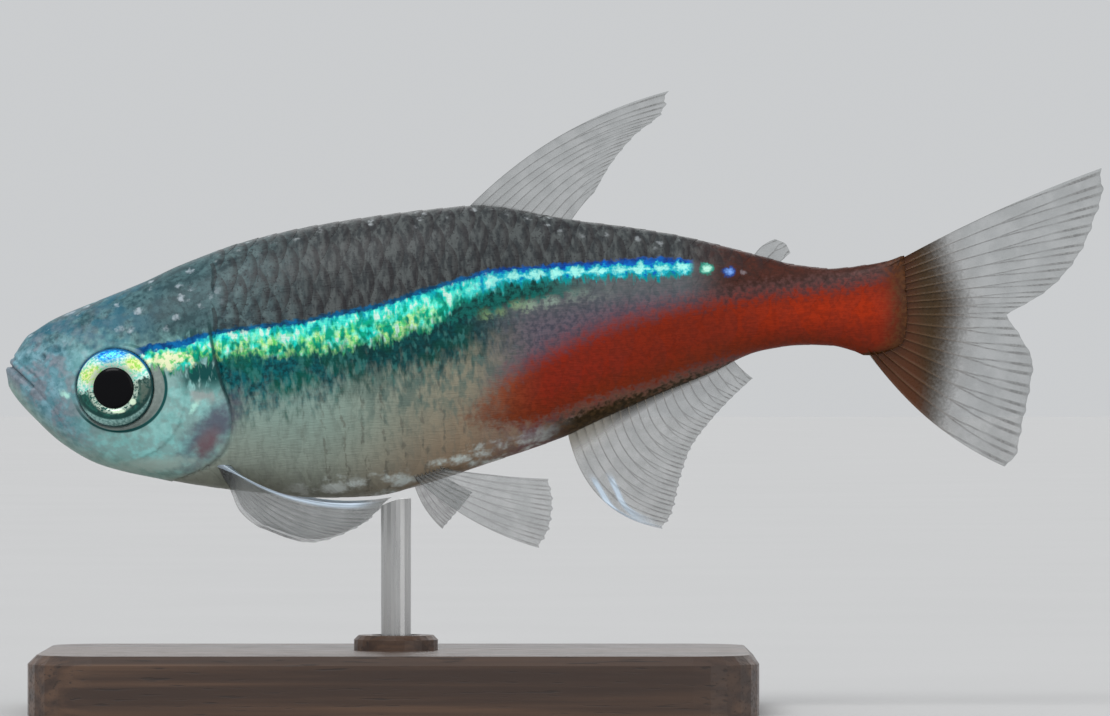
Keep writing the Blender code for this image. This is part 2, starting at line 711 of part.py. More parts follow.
def main():
    clear_scene()
    fish = bpy.data.objects.new("fish", None)
    bpy.context.scene.collection.objects.link(fish)
    fish.location = Vector(SNOUT_PLACE) * MM
    fish.rotation_euler = (0, -math.radians(PITCH_DEGREES), 0)

    head_skin = finish("head_skin", (0.20, 0.27, 0.27), 0.35, 0.3)
    flank_skin = finish("flank_skin", (0.22, 0.30, 0.32), 0.35, 0.3)
    red_skin = finish("red_skin", (0.62, 0.06, 0.02), 0.4)
    cover_skin = finish("cover_skin", (0.24, 0.40, 0.38), 0.3, 0.4)
    iris = finish("iris", (0.05, 0.35, 0.36), 0.15, 0.3)
    web = finish("web", (0.22, 0.23, 0.22), 0.4, 0.0, 0.6)
    wood = finish("dark_wood", (0.09, 0.045, 0.025), 0.45)
    steel = finish("steel", (0.55, 0.55, 0.54), 0.3, 1.0)

    body = whole_body()
    gill = cut_line(GILL_LINE, 22, GAP / 2)
    stalk_front = cut_line(STALK_LINE, 2, -GAP / 2)
    stalk_rear = cut_line(STALK_LINE, 2, GAP / 2)
    trunk = body_piece(body, "trunk", gill, stalk_front)
    root = cut_line(TAIL_ROOT_LINE, 12, -GAP / 2)
    stalk = body_piece(body, "tail_stalk", stalk_rear, root)
    head, jaw = make_head(body)
    bpy.data.objects.remove(body, do_unlink=True)

    settle(head, head_skin, fish)
    settle(jaw, head_skin, fish)
    settle(trunk, flank_skin, fish)
    settle(stalk, red_skin, fish)
    for side, word in ((-1, "left"), (1, "right")):
        settle(eye(side, f"eye_{word}"), iris, fish)
        settle(gill_cover(side, f"gill_cover_{word}"), cover_skin, fish)
        settle(pectoral_fin(side, f"pectoral_fin_{word}"), web, fish)

    near_tips = ((17.31, 1.7, -7.0), (17.75, 1.7, -6.3), (17.9, 1.5, -5.4), (17.8, 1.25, -4.75))
    near_root = ((13.45, -4.52), (13.85, -4.42), (14.3, -4.3))
    settle(pelvic_fin(-1, "pelvic_fin_left", near_root, near_tips, (-0.3, 0.3, -0.5)), web, fish)
    far_tips = ((14.1, 3.0, -6.2), (14.4, 3.2, -5.9), (14.8, 3.3, -5.5), (15.2, 3.3, -5.05))
    far_root = ((13.35, -4.52), (13.75, -4.44), (14.15, -4.35))
    settle(pelvic_fin(1, "pelvic_fin_right", far_root, far_tips, (-0.2, 0.5, -0.3)), web, fish)

    for make in (dorsal_fin, adipose_fin, caudal_upper, caudal_lower, anal_fin):
        settle(make(), web, fish)
    settle(stand_base(), wood)
    settle(stand_rod(), steel)


main()
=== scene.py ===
# %% [markdown]
# # A neon tetra on its stand
#
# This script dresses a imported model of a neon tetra, a fish 37 mm long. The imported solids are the
# frame: they hold the true outline, and every piece made here takes its place from them.
# The real fish is one smooth body under thin, overlapping scales, with clear fins on bony rays and
# an eye as wide as a third of its head. The pieces follow that order: skin, scales, eyes, fins,
# then the stand, the light and the camera.

# %% Load the frame
import json
import math

import bpy
import numpy as np
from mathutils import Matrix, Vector

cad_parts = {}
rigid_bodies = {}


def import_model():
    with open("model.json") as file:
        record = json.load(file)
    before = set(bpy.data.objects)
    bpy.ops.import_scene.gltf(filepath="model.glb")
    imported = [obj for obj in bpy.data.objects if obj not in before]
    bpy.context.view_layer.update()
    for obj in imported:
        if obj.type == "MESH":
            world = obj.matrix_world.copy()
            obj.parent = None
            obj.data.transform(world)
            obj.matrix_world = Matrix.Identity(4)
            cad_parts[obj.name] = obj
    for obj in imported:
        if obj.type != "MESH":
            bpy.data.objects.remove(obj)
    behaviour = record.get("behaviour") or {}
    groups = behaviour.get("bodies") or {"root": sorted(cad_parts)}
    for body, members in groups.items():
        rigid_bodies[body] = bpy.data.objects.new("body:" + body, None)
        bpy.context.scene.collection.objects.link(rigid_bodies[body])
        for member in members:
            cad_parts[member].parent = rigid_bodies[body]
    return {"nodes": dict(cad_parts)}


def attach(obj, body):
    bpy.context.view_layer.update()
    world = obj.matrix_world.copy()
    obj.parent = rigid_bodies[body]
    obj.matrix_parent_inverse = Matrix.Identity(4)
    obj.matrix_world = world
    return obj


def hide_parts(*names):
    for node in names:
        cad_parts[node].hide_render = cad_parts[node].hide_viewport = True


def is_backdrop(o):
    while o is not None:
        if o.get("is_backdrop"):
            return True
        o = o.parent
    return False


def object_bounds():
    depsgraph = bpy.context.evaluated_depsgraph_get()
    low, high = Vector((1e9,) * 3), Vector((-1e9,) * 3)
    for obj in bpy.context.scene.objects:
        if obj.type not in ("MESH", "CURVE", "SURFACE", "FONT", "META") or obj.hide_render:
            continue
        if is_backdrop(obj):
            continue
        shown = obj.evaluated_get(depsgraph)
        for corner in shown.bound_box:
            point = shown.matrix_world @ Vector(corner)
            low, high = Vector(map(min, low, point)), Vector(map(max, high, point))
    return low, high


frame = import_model()
cad_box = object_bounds()
print("solids:", len(frame["nodes"]), "box in mm:", [[round(1000 * c, 2) for c in p] for p in cad_box])

# %% [markdown]
# ## The fish's own frame
#
# The fish is drawn in millimetres: u runs along the body from the snout's tip, w runs out through
# the right flank, and v runs up. The whole fish is pitched a few degrees, tail up, as in the photo.
# The outline of back and belly and the body's half width are smooth curves through a few places.
# They are the same values as in the solids, so skin and solids agree everywhere.

# %% Body outlines
MM = 0.001
SNOUT_PLACE = (-13.03, 0.0, 11.07)
PITCH = math.radians(4.45)
BODY_END = 30.4
BACK = (
    (0.0, 0.0), (0.25, 0.60), (0.55, 1.06), (0.85, 1.39), (1.15, 1.55), (1.65, 1.82),
    (3.36, 2.40), (4.84, 2.87), (6.1, 3.34), (8.5, 3.98), (11.0, 4.33), (14.5, 4.54),
    (15.8, 4.56), (19.2, 3.84), (22.5, 3.10), (25.4, 2.15), (26.5, 1.77), (28.0, 1.53),
    (29.2, 1.60), (30.4, 1.84),
)
BELLY = (
    (0.0, 0.0), (0.16, -0.52), (0.8, -1.40), (1.72, -2.38), (2.93, -3.18), (5.5, -3.96),
    (7.8, -4.46), (10.6, -4.88), (12.0, -4.93), (13.5, -4.70), (15.9, -4.12), (18.4, -3.46),
    (19.5, -3.05), (21.4, -2.37), (23.4, -1.73), (25.2, -1.10), (26.3, -1.01), (27.5, -1.11),
    (28.2, -1.34), (29.2, -1.78), (30.4, -1.98),
)
HALF_WIDTH = (
    (0.0, 0.0), (0.3, 0.64), (1.2, 1.26), (2.4, 1.66), (3.7, 1.92), (5.5, 2.12), (7.5, 2.22),
    (11.0, 2.22), (13.0, 2.12), (16.0, 1.80), (19.0, 1.42), (22.0, 1.08), (25.0, 0.80),
    (27.5, 0.60), (30.4, 0.40),
)
# How far back the tail stalk's flesh reaches, against how high on its girth: least at the bottom
FLESH_REACH = ((-1.0, 28.6), (-0.84, 29.15), (-0.56, 29.95), (0.0, 30.15), (1.0, 30.2))
SECTION_POWER = 2.15
TAIL_THIN = 0.05
TAIL_PINCH = 0.035
TAIL_ROUNDING = 1.3


def through(points, x):
    """The height at x of a smooth curve through (x, y) points, which never overshoots them."""
    xs, ys = np.array(points, float).T
    x = np.clip(np.asarray(x, float), xs[0], xs[-1])
    rise = np.diff(ys) / np.diff(xs)
    before, after = rise[:-1], rise[1:]
    same_way = before * after > 0
    total = np.where(same_way, before + after, 1.0)
    inner = np.where(same_way, 2 * before * after / total, 0.0)
    slope = np.concatenate([rise[:1], inner, rise[-1:]])
    k = np.clip(np.searchsorted(xs, x, side="right") - 1, 0, len(xs) - 2)
    span = xs[k + 1] - xs[k]
    t = (x - xs[k]) / span
    return (
        (1 + 2 * t) * (1 - t) ** 2 * ys[k] + t * (1 - t) ** 2 * span * slope[k]
        + t * t * (3 - 2 * t) * ys[k + 1] + t * t * (t - 1) * span * slope[k + 1]
    )


def curve(points, t):
    """A smooth curve through points of any dimension, with t from 0 at the first to 1 at the last."""
    points = np.array(points, float)
    steps = np.linalg.norm(np.diff(points, axis=0), axis=1)
    along = np.concatenate([[0.0], np.cumsum(steps)]) / steps.sum()
    return np.stack([through(np.column_stack([along, c]), t) for c in points.T], axis=-1)


def profile(points, u):
    """A body outline, read against the root of u, which makes the snout round."""
    return through([(math.sqrt(x), y) for x, y in points], np.sqrt(np.maximum(u, 0.0)))


def section(u):
    """The widest level, the reach above and below it, and the half width at u."""
    back, belly = profile(BACK, u), profile(BELLY, u)
    level = (back + belly) / 2
    return level, back - level, level - belly, profile(HALF_WIDTH, u)


print("depth at u = 11 mm:", round(float(profile(BACK, 11.0) - profile(BELLY, 11.0)), 2), "mm")

# %% [markdown]
# A cross section is a slightly squared oval. Towards the tail fin the flesh ends in a rounded,
# thin edge, so the section is pinched and thinned there. The last helper turns the fish's frame
# into the frame of the solids, which is in metres.

# %% Points on the body


def flesh_end(angle):
    """How far back the tail stalk's flesh reaches at an angle round the body."""
    return through(FLESH_REACH, np.cos(angle))


def body_point(u, angle):
    """A point of the body's surface, the angle running from the back round by the right flank."""
    level, above, below, wide = section(u)
    side, rise = np.sin(angle), np.cos(angle)
    power = 2 / SECTION_POWER
    left = np.clip((flesh_end(angle) - u) / TAIL_ROUNDING, 0.0, 1.0)
    reach = np.where(rise > 0, above, below) * (1 - TAIL_PINCH * (1 - left) ** 2)
    v = level + reach * np.sign(rise) * np.abs(rise) ** power
    wide = np.minimum(wide, TAIL_THIN + (wide - TAIL_THIN) * np.sqrt(1 - (1 - left) ** 2))
    w = wide * np.sign(side) * np.abs(side) ** power
    return np.stack(np.broadcast_arrays(u, w, v), axis=-1)


def flank(u, v):
    """How far the flank stands from the midline at a place in side view."""
    level, above, below, wide = section(u)
    reach = np.maximum(np.where(v > level, above, below), 1e-6)
    rise = np.abs(v - level) / reach
    return wide * np.maximum(1 - rise**SECTION_POWER, 0.0) ** (1 / SECTION_POWER)


def on_flank(u, v, side):
    """Points of one flank, side -1 for the left and 1 for the right, and their outward normals."""
    step = 0.02
    u, v = np.broadcast_arrays(np.asarray(u, float), np.asarray(v, float))
    w = flank(u, v)
    along = (flank(u + step, v) - flank(u - step, v)) / (2 * step)
    up = (flank(u, v + step) - flank(u, v - step)) / (2 * step)
    normal = np.stack([-along, np.full_like(w, side), -up], axis=-1)
    normal /= np.linalg.norm(normal, axis=-1, keepdims=True)
    return np.stack([u, side * w, v], axis=-1), normal


def to_row(points):
    """Millimetres in the fish's frame to metres in the frame of the solids."""
    u, w, v = np.moveaxis(np.asarray(points, float), -1, 0)
    x = SNOUT_PLACE[0] + u * math.cos(PITCH) - v * math.sin(PITCH)
    z = SNOUT_PLACE[2] + u * math.sin(PITCH) + v * math.cos(PITCH)
    return np.stack([x, w, z], axis=-1) * MM


print("half width at u = 11 mm:", round(float(flank(11.0, 0.0)), 2), "mm")

# %% [markdown]
# ## Making a mesh from arrays
#
# Each piece here is a few grids of points with faces between neighbours. Every point also keeps
# its place in the fish's frame as an attribute, so that one set of colours can be painted on skin
# and scales alike, and each face corner can carry a place on an unwrapped map of the skin.

# %% Mesh helpers


def smooth_step(x, low, high):
    """0 below low, 1 above high, eased between."""
    t = np.clip((np.asarray(x, float) - low) / (high - low), 0.0, 1.0)
    return t * t * (3 - 2 * t)


def grid_faces(rows, columns, closed=False):
    """The quads of a grid of rows by columns, whose rows may close into rings."""
    across = columns if closed else columns - 1
    r, c = np.meshgrid(np.arange(rows - 1), np.arange(across), indexing="ij")
    a, b = r * columns + c, r * columns + (c + 1) % columns
    return np.stack([a, b, b + columns, a + columns], axis=-1).reshape(-1, 4)


def fan_faces(centre, ring_a, ring_b):
    """Triangles from one centre point to the edges of a ring."""
    return np.stack([np.full(len(ring_a), centre), ring_a, ring_b], axis=-1)


def normals_of(grid, closed=False):
    """The unit normals of a grid of points."""
    if closed:
        across = np.roll(grid, -1, axis=1) - np.roll(grid, 1, axis=1)
    else:
        across = np.gradient(grid, axis=1)
    made = np.cross(across, np.gradient(grid, axis=0))
    return made / np.maximum(np.linalg.norm(made, axis=-1, keepdims=True), 1e-12)


def new_mesh(name, points, faces, values=None, corner_uv=None, place=None):
    """A smooth mesh of points in the fish's frame; values are further attributes by name."""
    mesh = bpy.data.meshes.new(name)
    sizes = np.concatenate([np.full(len(part), part.shape[1]) for part in faces])
    loops = np.concatenate([part.ravel() for part in faces]).astype(np.int32)
    mesh.vertices.add(len(points))
    mesh.vertices.foreach_set("co", to_row(points).ravel())
    mesh.loops.add(len(loops))
    mesh.loops.foreach_set("vertex_index", loops)
    mesh.polygons.add(len(sizes))
    starts = np.concatenate([[0], np.cumsum(sizes)[:-1]]).astype(np.int32)
    mesh.polygons.foreach_set("loop_start", starts)
    mesh.update(calc_edges=True)
    layer = mesh.attributes.new("place", "FLOAT_VECTOR", "POINT")
    place = points if place is None else place
    layer.data.foreach_set("vector", np.ascontiguousarray(place).ravel())
    for key, value in (values or {}).items():
        layer = mesh.attributes.new(key, "FLOAT", "POINT")
        layer.data.foreach_set("value", np.ascontiguousarray(value, dtype=float).ravel())
    if corner_uv is not None:
        mesh.uv_layers.new(name="OFBake").data.foreach_set("uv", corner_uv.ravel())
    mesh.shade_smooth()
    thing = bpy.data.objects.new(name, mesh)
    bpy.context.scene.collection.objects.link(thing)
    return thing


def finish_piece(thing, material, slot, *nodes):
    """Gives a piece its material, hangs it on the body and hides the solids it stands for."""
    thing.data.materials.append(material)
    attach(thing, "root")
    if nodes:
        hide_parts(*nodes)
    print(thing.name, len(thing.data.polygons), "faces")


# %% [markdown]
# ## Lines on the head
#
# The mouth's slit, the fold beside it, the edge of the gill cover and the cheek bone's rear edge
# are lines in side view. Each shapes the skin by its distance: a slit sinks it in a narrow band,
# and a plate's edge lifts it in front of the line and lets it drop behind.

# %% Head lines
MOUTH = ((-0.50, 1.05), (0.05, 0.52), (0.27, 0.31), (0.60, -0.03), (0.93, -0.38))
JAW_CREASE = ((0.93, -0.38), (1.40, -1.00), (1.85, -1.80), (2.15, -2.70))
UPPER_LIP_FOLD = ((0.20, 0.82), (0.43, 0.52), (0.80, 0.18), (1.13, -0.15), (1.30, -0.62))
GILL_EDGE = (
    (6.98, 3.05), (6.96, 1.70), (7.02, 0.50), (7.21, -0.63), (7.45, -1.82),
    (7.26, -2.80), (6.62, -3.42), (5.60, -3.82), (4.40, -4.10),
)
CHEEK_EDGE = (
    (6.25, 0.85), (6.19, 0.30), (6.08, -0.87), (5.78, -1.90), (5.10, -2.70), (4.00, -3.18),
)
COVER_SEAM = ((5.72, -2.10), (6.40, -2.12), (7.25, -2.35))
EYE_PLACE = (3.70, -0.62)
EYE_RADIUS = 1.33
NOSTRILS = ((1.36, 0.60, 0.085), (1.84, 0.80, 0.12))


def from_line(points, u, v):
    """Distance from a side-view line, above 0 on the left of its run, and how far along it."""
    line = curve(points, np.linspace(0, 1, 30))
    best = np.full(u.shape, 1e9)
    signed, along = np.zeros(u.shape), np.zeros(u.shape)
    for k, (a, b) in enumerate(zip(line[:-1], line[1:])):
        run = b - a
        t = np.clip(((u - a[0]) * run[0] + (v - a[1]) * run[1]) / (run @ run), 0, 1)
        du, dv = u - a[0] - t * run[0], v - a[1] - t * run[1]
        far = np.hypot(du, dv)
        nearer = far < best
        best = np.where(nearer, far, best)
        signed = np.where(nearer, np.sign(run[0] * dv - run[1] * du) * far, signed)
        along = np.where(nearer, (k + t) / (len(line) - 1), along)
    return signed, along


print("the gill cover reaches back to", max(u for u, v in GILL_EDGE), "mm")

# %% [markdown]
# The relief adds up these lines, two nostril pits and the eye's socket, whose rim stands up a
# little and has a shallow fold low and behind it. Depths and widths are in millimetres.

# %% Head relief


def bell(x, width):
    return np.exp(-((x / width) ** 2))


def head_relief(points):
    """How far the skin stands over the plain body, in millimetres, for points on it."""
    u, _, v = np.moveaxis(points, -1, 0)
    relief = np.zeros(u.shape)
    d, t = from_line(MOUTH, u, v)
    mouth = 1 - smooth_step(u, 0.86, 1.02)
    relief += mouth * (-0.14 * bell(d, 0.045) + 0.055 * bell(np.abs(d) - 0.16, 0.11))
    d, t = from_line(UPPER_LIP_FOLD, u, v)
    fold = -0.040 * bell(d, 0.035) + 0.025 * bell(d - 0.10, 0.07)
    relief += fold * (1 - smooth_step(t, 0.85, 1.0))
    d, t = from_line(JAW_CREASE, u, v)
    relief -= 0.045 * bell(d, 0.045) * (1 - smooth_step(t, 0.55, 1.0))
    d, t = from_line(CHEEK_EDGE, u, v)
    ends = smooth_step(t, 0.0, 0.15) * (1 - smooth_step(t, 0.85, 1.0))
    relief += ends * np.where(d < 0, 0.028 * np.exp(d / 0.45), -0.020 * np.exp(-d / 0.30))
    d, t = from_line(COVER_SEAM, u, v)
    ends = smooth_step(t, 0.0, 0.2) * (1 - smooth_step(t, 0.8, 1.0))
    relief -= 0.022 * bell(d, 0.035) * ends
    d, t = from_line(GILL_EDGE, u, v)
    ends = smooth_step(t, 0.14, 0.30) * (1 - smooth_step(t, 0.9, 1.0))
    ends = ends * (0.55 + 0.45 * smooth_step(v, -2.6, -0.8))
    relief += ends * np.where(d < 0, 0.045 * np.exp(d / 0.5), -0.085 * np.exp(-d / 0.22))
    for nostril_u, nostril_v, radius in NOSTRILS:
        far = np.hypot(u - nostril_u, v - nostril_v)
        relief += -0.16 * bell(far, radius) + 0.030 * bell(far - 1.6 * radius, 0.045)
    du, dv = u - EYE_PLACE[0], v - EYE_PLACE[1]
    far = np.hypot(du, dv)
    relief -= 0.75 * (1 - smooth_step(far, EYE_RADIUS - 0.10, EYE_RADIUS - 0.01))
    relief += 0.040 * bell(far - EYE_RADIUS - 0.06, 0.06)
    low_rear = smooth_step(du - dv, -0.4, 0.9)
    fold_place = EYE_RADIUS + 0.17 + 0.10 * smooth_step(du, 0.5, 1.5)
    relief -= 0.045 * bell(far - fold_place, 0.05) * low_rear
    return relief


# %% [markdown]
# ## The skin
#
# One skin runs from the lips to the tail's root, a little inside the solids, so that the scales
# have room on it. It is a grid of rings, closer together on the head where the detail is. A cut
# along the belly and a straight map of length against girth unwrap it.

# %% Skin
HEAD_END = 7.7
HEAD_RINGS = 170
BODY_RINGS = 160
RING_SIDES = 288
STRETCH_FROM = 28.0
SKIN_DEPTH = 0.05
MAP_EDGE, MAP_SPAN = 0.03, 0.94


def skin_grid():
    """The rings' places along the body, their angles, and the points of the plain body."""
    head = HEAD_END * np.linspace(0.02, 1, HEAD_RINGS) ** 1.25
    stations = np.concatenate([head, np.linspace(HEAD_END, BODY_END, BODY_RINGS + 1)[1:]])
    angles = math.pi + 2 * math.pi * np.arange(RING_SIDES) / RING_SIDES
    past = np.maximum(stations - STRETCH_FROM, 0.0)[:, None] / (BODY_END - STRETCH_FROM)
    reach = flesh_end(angles)[None, :] - STRETCH_FROM
    u = np.minimum(stations, STRETCH_FROM)[:, None] + past * reach
    return stations, angles, body_point(u, angles[None, :])


def map_of(u, turn):
    """A place on the unwrapped skin: length across, girth up, both from 0 to 1."""
    u, turn = MAP_EDGE + MAP_SPAN * u / BODY_END, MAP_EDGE + MAP_SPAN * turn
    return np.stack(np.broadcast_arrays(u, turn), axis=-1)


stations, angles, base = skin_grid()
outward = normals_of(base, closed=True)
level = np.broadcast_to(section(stations)[0][:, None], base.shape[:2])
middle = np.stack([base[..., 0], 0 * base[..., 0], level], -1)
outward *= np.sign(((base - middle) * outward).sum(-1, keepdims=True) + 1e-12)
under = SKIN_DEPTH * smooth_step(flesh_end(angles) - base[..., 0], 0.0, 0.5)
skin_points = base + outward * (head_relief(base) - under)[..., None]

rings = len(stations)
ends = [skin_points[0].mean(axis=0) - (0.01, 0, 0), skin_points[-1].mean(axis=0)]
ring = np.arange(RING_SIDES)
after = (ring + 1) % RING_SIDES
last = (rings - 1) * RING_SIDES
nose = fan_faces(rings * RING_SIDES, after, ring)
stump = fan_faces(rings * RING_SIDES + 1, last + ring, last + after)

r, s = np.meshgrid(np.arange(rings - 1), ring, indexing="ij")
corners = [(r, s), (r, s + 1), (r + 1, s + 1), (r + 1, s)]
corner_maps = [map_of(stations[a], b / RING_SIDES) for a, b in corners]
uv = [np.stack(corner_maps, axis=2).reshape(-1, 2)]
for u in (0.0, BODY_END):
    uv.append(np.stack([map_of(u, ring / RING_SIDES)] * 3, axis=1).reshape(-1, 2))
skin = new_mesh(
    "skin", np.concatenate([skin_points.reshape(-1, 3), ends]),
    [grid_faces(rings, RING_SIDES, closed=True), nose, stump],
    corner_uv=np.concatenate(uv), place=np.concatenate([base.reshape(-1, 3), ends]),
)
print("skin rings:", rings, "points:", len(skin.data.vertices))

# %% [markdown]
# ## The scales
#
# A tetra's scales are thin, round plates, higher than long, rooted in the skin and lapped like
# roof tiles: each one's rear edge lies over the next. Rows run along the body, and neighbouring
# rows are set off by half a scale. Each flank has thirteen rows, the longest with 34 scales and
# the outermost short. A table of the girth's arc length places them, so rows keep their height and
# run out at the back and belly where the body tapers.

# %% Girth table
TABLE_ANGLES = 721
table_u = np.linspace(0.5, BODY_END, 300)
table_angle = np.linspace(-0.5 * math.pi, 1.5 * math.pi, TABLE_ANGLES)
table_points = body_point(table_u[:, None], table_angle[None, :])
arc = np.linalg.norm(np.diff(table_points, axis=1), axis=-1).cumsum(axis=1)
arc = np.concatenate([np.zeros((len(table_u), 1)), arc], axis=1)
flank_column, back_column = TABLE_ANGLES // 2, TABLE_ANGLES // 4
arc = arc[:, flank_column:flank_column + 1] - arc
table_arc = np.linspace(-12.0, 12.0, 961)
angle_at = np.stack([np.interp(table_arc, row[::-1], table_angle[::-1]) for row in arc])
reach_up, reach_down = arc[:, back_column], -arc[:, TABLE_ANGLES - 1 - back_column]


def girth_angle(u, rise):
    """The angle of a place that lies rise millimetres up the girth from the flank's middle."""
    a = np.clip((u - table_u[0]) / (table_u[1] - table_u[0]), 0, len(table_u) - 1.001)
    b = np.clip((rise - table_arc[0]) / (table_arc[1] - table_arc[0]), 0, len(table_arc) - 1.001)
    i, j = a.astype(int), b.astype(int)
    p, q = a - i, b - j
    low = angle_at[i, j] * (1 - q) + angle_at[i, j + 1] * q
    high = angle_at[i + 1, j] * (1 - q) + angle_at[i + 1, j + 1] * q
    return low * (1 - p) + high * p


print("girth from belly to back at mid-body:", round(float((reach_up + reach_down)[150]), 2), "mm")

# %% [markdown]
# A scale is kept where its root lies behind the gill cover and its rear edge in front of the
# flesh's end. Sizes vary by a few hundredths, from a fixed seed, so every run is the same.

# %% Scale places
SCALE_STEP = 0.70
ROW_STEP = 0.86
SCALE_LENGTH = 1.02
FIRST_SCALE = 4.2
ROWS_EACH_WAY = 8
SCALES_IN_ROW = 42
rng = np.random.default_rng(7)
gill_up = np.array(sorted((v, u) for u, v in GILL_EDGE))


def gill_edge(v):
    """How far back the gill cover's edge lies at a height on the flank."""
    return np.interp(v, gill_up[:, 0], gill_up[:, 1])


def row_height(u):
    """Rows are a little lower on the tail stalk than on the shoulder."""
    return ROW_STEP * (1 - 0.22 * smooth_step(u, 12.0, 27.0))


def scale_roots():
    """The middle of each scale's root, as (u, rows from the flank's middle, size)."""
    roots = []
    for row in range(-ROWS_EACH_WAY, ROWS_EACH_WAY + 1):
        offset = 0.5 * SCALE_STEP * (row % 2)
        for k in range(SCALES_IN_ROW):
            u = FIRST_SCALE + offset + k * SCALE_STEP
            rise = row * row_height(u)
            up, down = np.interp(u, table_u, reach_up), np.interp(u, table_u, reach_down)
            if rise > up + 0.35 * ROW_STEP or rise < -down - 0.35 * ROW_STEP:
                continue
            angle = float(girth_angle(np.array(u), np.array(rise)))
            v = body_point(np.array(u), np.array(angle))[2]
            if u < gill_edge(v) - 1.15 or u + 0.6 * SCALE_LENGTH > flesh_end(angle):
                continue
            roots.append((u, row, 1 + 0.03 * rng.standard_normal()))
    return np.array(roots)


roots = scale_roots()
rows, in_row = np.unique(roots[:, 1], return_counts=True)
print("scales on each flank:", len(roots), "in", len(rows), "rows, the longest with", max(in_row))

# %% [markdown]
# Each scale is a small grid: its rear edge is a wide arc, it is sunk at the root and proud at the
# rear, and a skirt closes that edge down into the skin. Its own part of the bake map is a small
# patch at its root's place on the unwrapped skin.

# %% Scale plates
PLATE_ROWS = 9
PLATE_COLUMNS = 13
REAR_ROUND = 0.36
SCALE_LIFT = 0.036
PATCH = 0.003


def plate_grid():
    """A scale's grid: how far along and across each point is, then the skirt's two rings."""
    along, across = np.linspace(0, 1, PLATE_ROWS), np.linspace(-1, 1, PLATE_COLUMNS)
    p, q = (part.ravel() for part in np.meshgrid(along, across, indexing="ij"))
    index = np.arange(PLATE_ROWS * PLATE_COLUMNS).reshape(PLATE_ROWS, PLATE_COLUMNS)
    rim = np.concatenate([index[:, 0], index[-1, 1:-1], index[::-1, -1]])
    lip = p.size + np.arange(len(rim))
    under = lip + len(rim)
    skirt = np.stack([lip[:-1], lip[1:], under[1:], under[:-1]], axis=-1)
    faces = np.concatenate([grid_faces(PLATE_ROWS, PLATE_COLUMNS), skirt[:, ::-1]])
    return np.append(p, [p[rim], p[rim]]), np.append(q, [q[rim], q[rim]]), under[0], faces


def plate_lift(p, q, rise, first_under, many):
    """How high the points of many scales stand: proud at the rear, more so on the back."""
    proud = 0.30 + 0.50 * smooth_step(rise, -1.2, 0.8)
    lift = SCALE_LIFT * (p**0.85) + 0.008 * (1 - q**2) * p - 0.012 * np.abs(q) ** 4 - 0.018
    lift = proud * lift - SKIN_DEPTH
    lift[:, first_under:] = -SKIN_DEPTH - 0.03
    return lift + rng.normal(0, 0.0015, (many, 1))


def scale_piece(name, chosen, side):
    """One piece of many scales, on the flank of side."""
    p, q, first_under, faces = plate_grid()
    u0, row, size = chosen.T[..., None]
    many = len(chosen)
    height = 1.04 * row_height(u0) * size
    jitter = rng.normal(0, 0.012, (many, 1))
    u = u0 + jitter + SCALE_LENGTH * size * p * (1 - REAR_ROUND * np.abs(q) ** 2.2)
    rise = row * row_height(u) + height * q * (0.55 + 0.45 * np.minimum(1, 2.5 * p))
    up, down = np.interp(u, table_u, reach_up), np.interp(u, table_u, reach_down)
    rise = np.clip(rise, -down + 0.004, up - 0.004)
    angle = girth_angle(u, rise)
    u = np.minimum(u, flesh_end(angle) - 0.02)
    step = 0.01
    here = body_point(u, angle)
    along = body_point(np.minimum(u + step, BODY_END), angle) - body_point(u - step, angle)
    round_ = body_point(u, angle + step) - body_point(u, angle - step)
    normal = np.cross(round_, along)
    normal /= np.maximum(np.linalg.norm(normal, axis=-1, keepdims=True), 1e-12)
    normal *= np.sign(normal[..., 1:2] * here[..., 1:2] + 1e-9)
    lift = plate_lift(p, q, rise, first_under, many)
    lift = lift - 0.16 * smooth_step(gill_edge(here[..., 2]) + 0.16 - u, 0.0, 0.14)
    lift = lift + SKIN_DEPTH * (1 - smooth_step(flesh_end(angle) - u, 0.0, 0.5))
    mirror = (1, side, 1)
    points = (here + normal * lift[..., None]) * mirror
    faces = faces if side > 0 else faces[:, ::-1]
    all_faces = (faces[None] + (np.arange(many) * len(p))[:, None, None]).reshape(-1, 4)
    root_angle = girth_angle(u0, row * row_height(u0))
    own_map = map_of(np.clip(u0, 0, BODY_END), (root_angle * side - math.pi) / (2 * math.pi) % 1.0)
    spread = np.stack([p - 0.5, 0.5 * q], axis=-1) * PATCH
    uv = (own_map + spread[None]).reshape(-1, 2)[all_faces.ravel()]
    own = rng.random((many, 1))
    values = {"along": p, "across": q, "own": own}
    values = {key: np.broadcast_to(value, (many, len(p))) for key, value in values.items()}
    place = (here * mirror).reshape(-1, 3)
    return new_mesh(name, points.reshape(-1, 3), [all_faces], values, uv, place)


scale_pieces = []
for side, word in ((-1, "left"), (1, "right")):
    for part, low, high in (("shoulder", 0.0, 14.0), ("rear", 14.0, 40.0)):
        chosen = roots[(roots[:, 0] >= low) & (roots[:, 0] < high)]
        scale_pieces.append(scale_piece(f"scales_{part}_{word}", chosen, side))
print("scale faces:", sum(len(piece.data.polygons) for piece in scale_pieces))

# %% [markdown]
# ## Painting with nodes
#
# The colours are worked out from the place on the fish, so that they are the same on skin and
# scales. A small helper keeps the node graphs short: each call adds one node or a few and returns
# the result. A number that is the same all over is set on the shader itself.

# %% Node helper


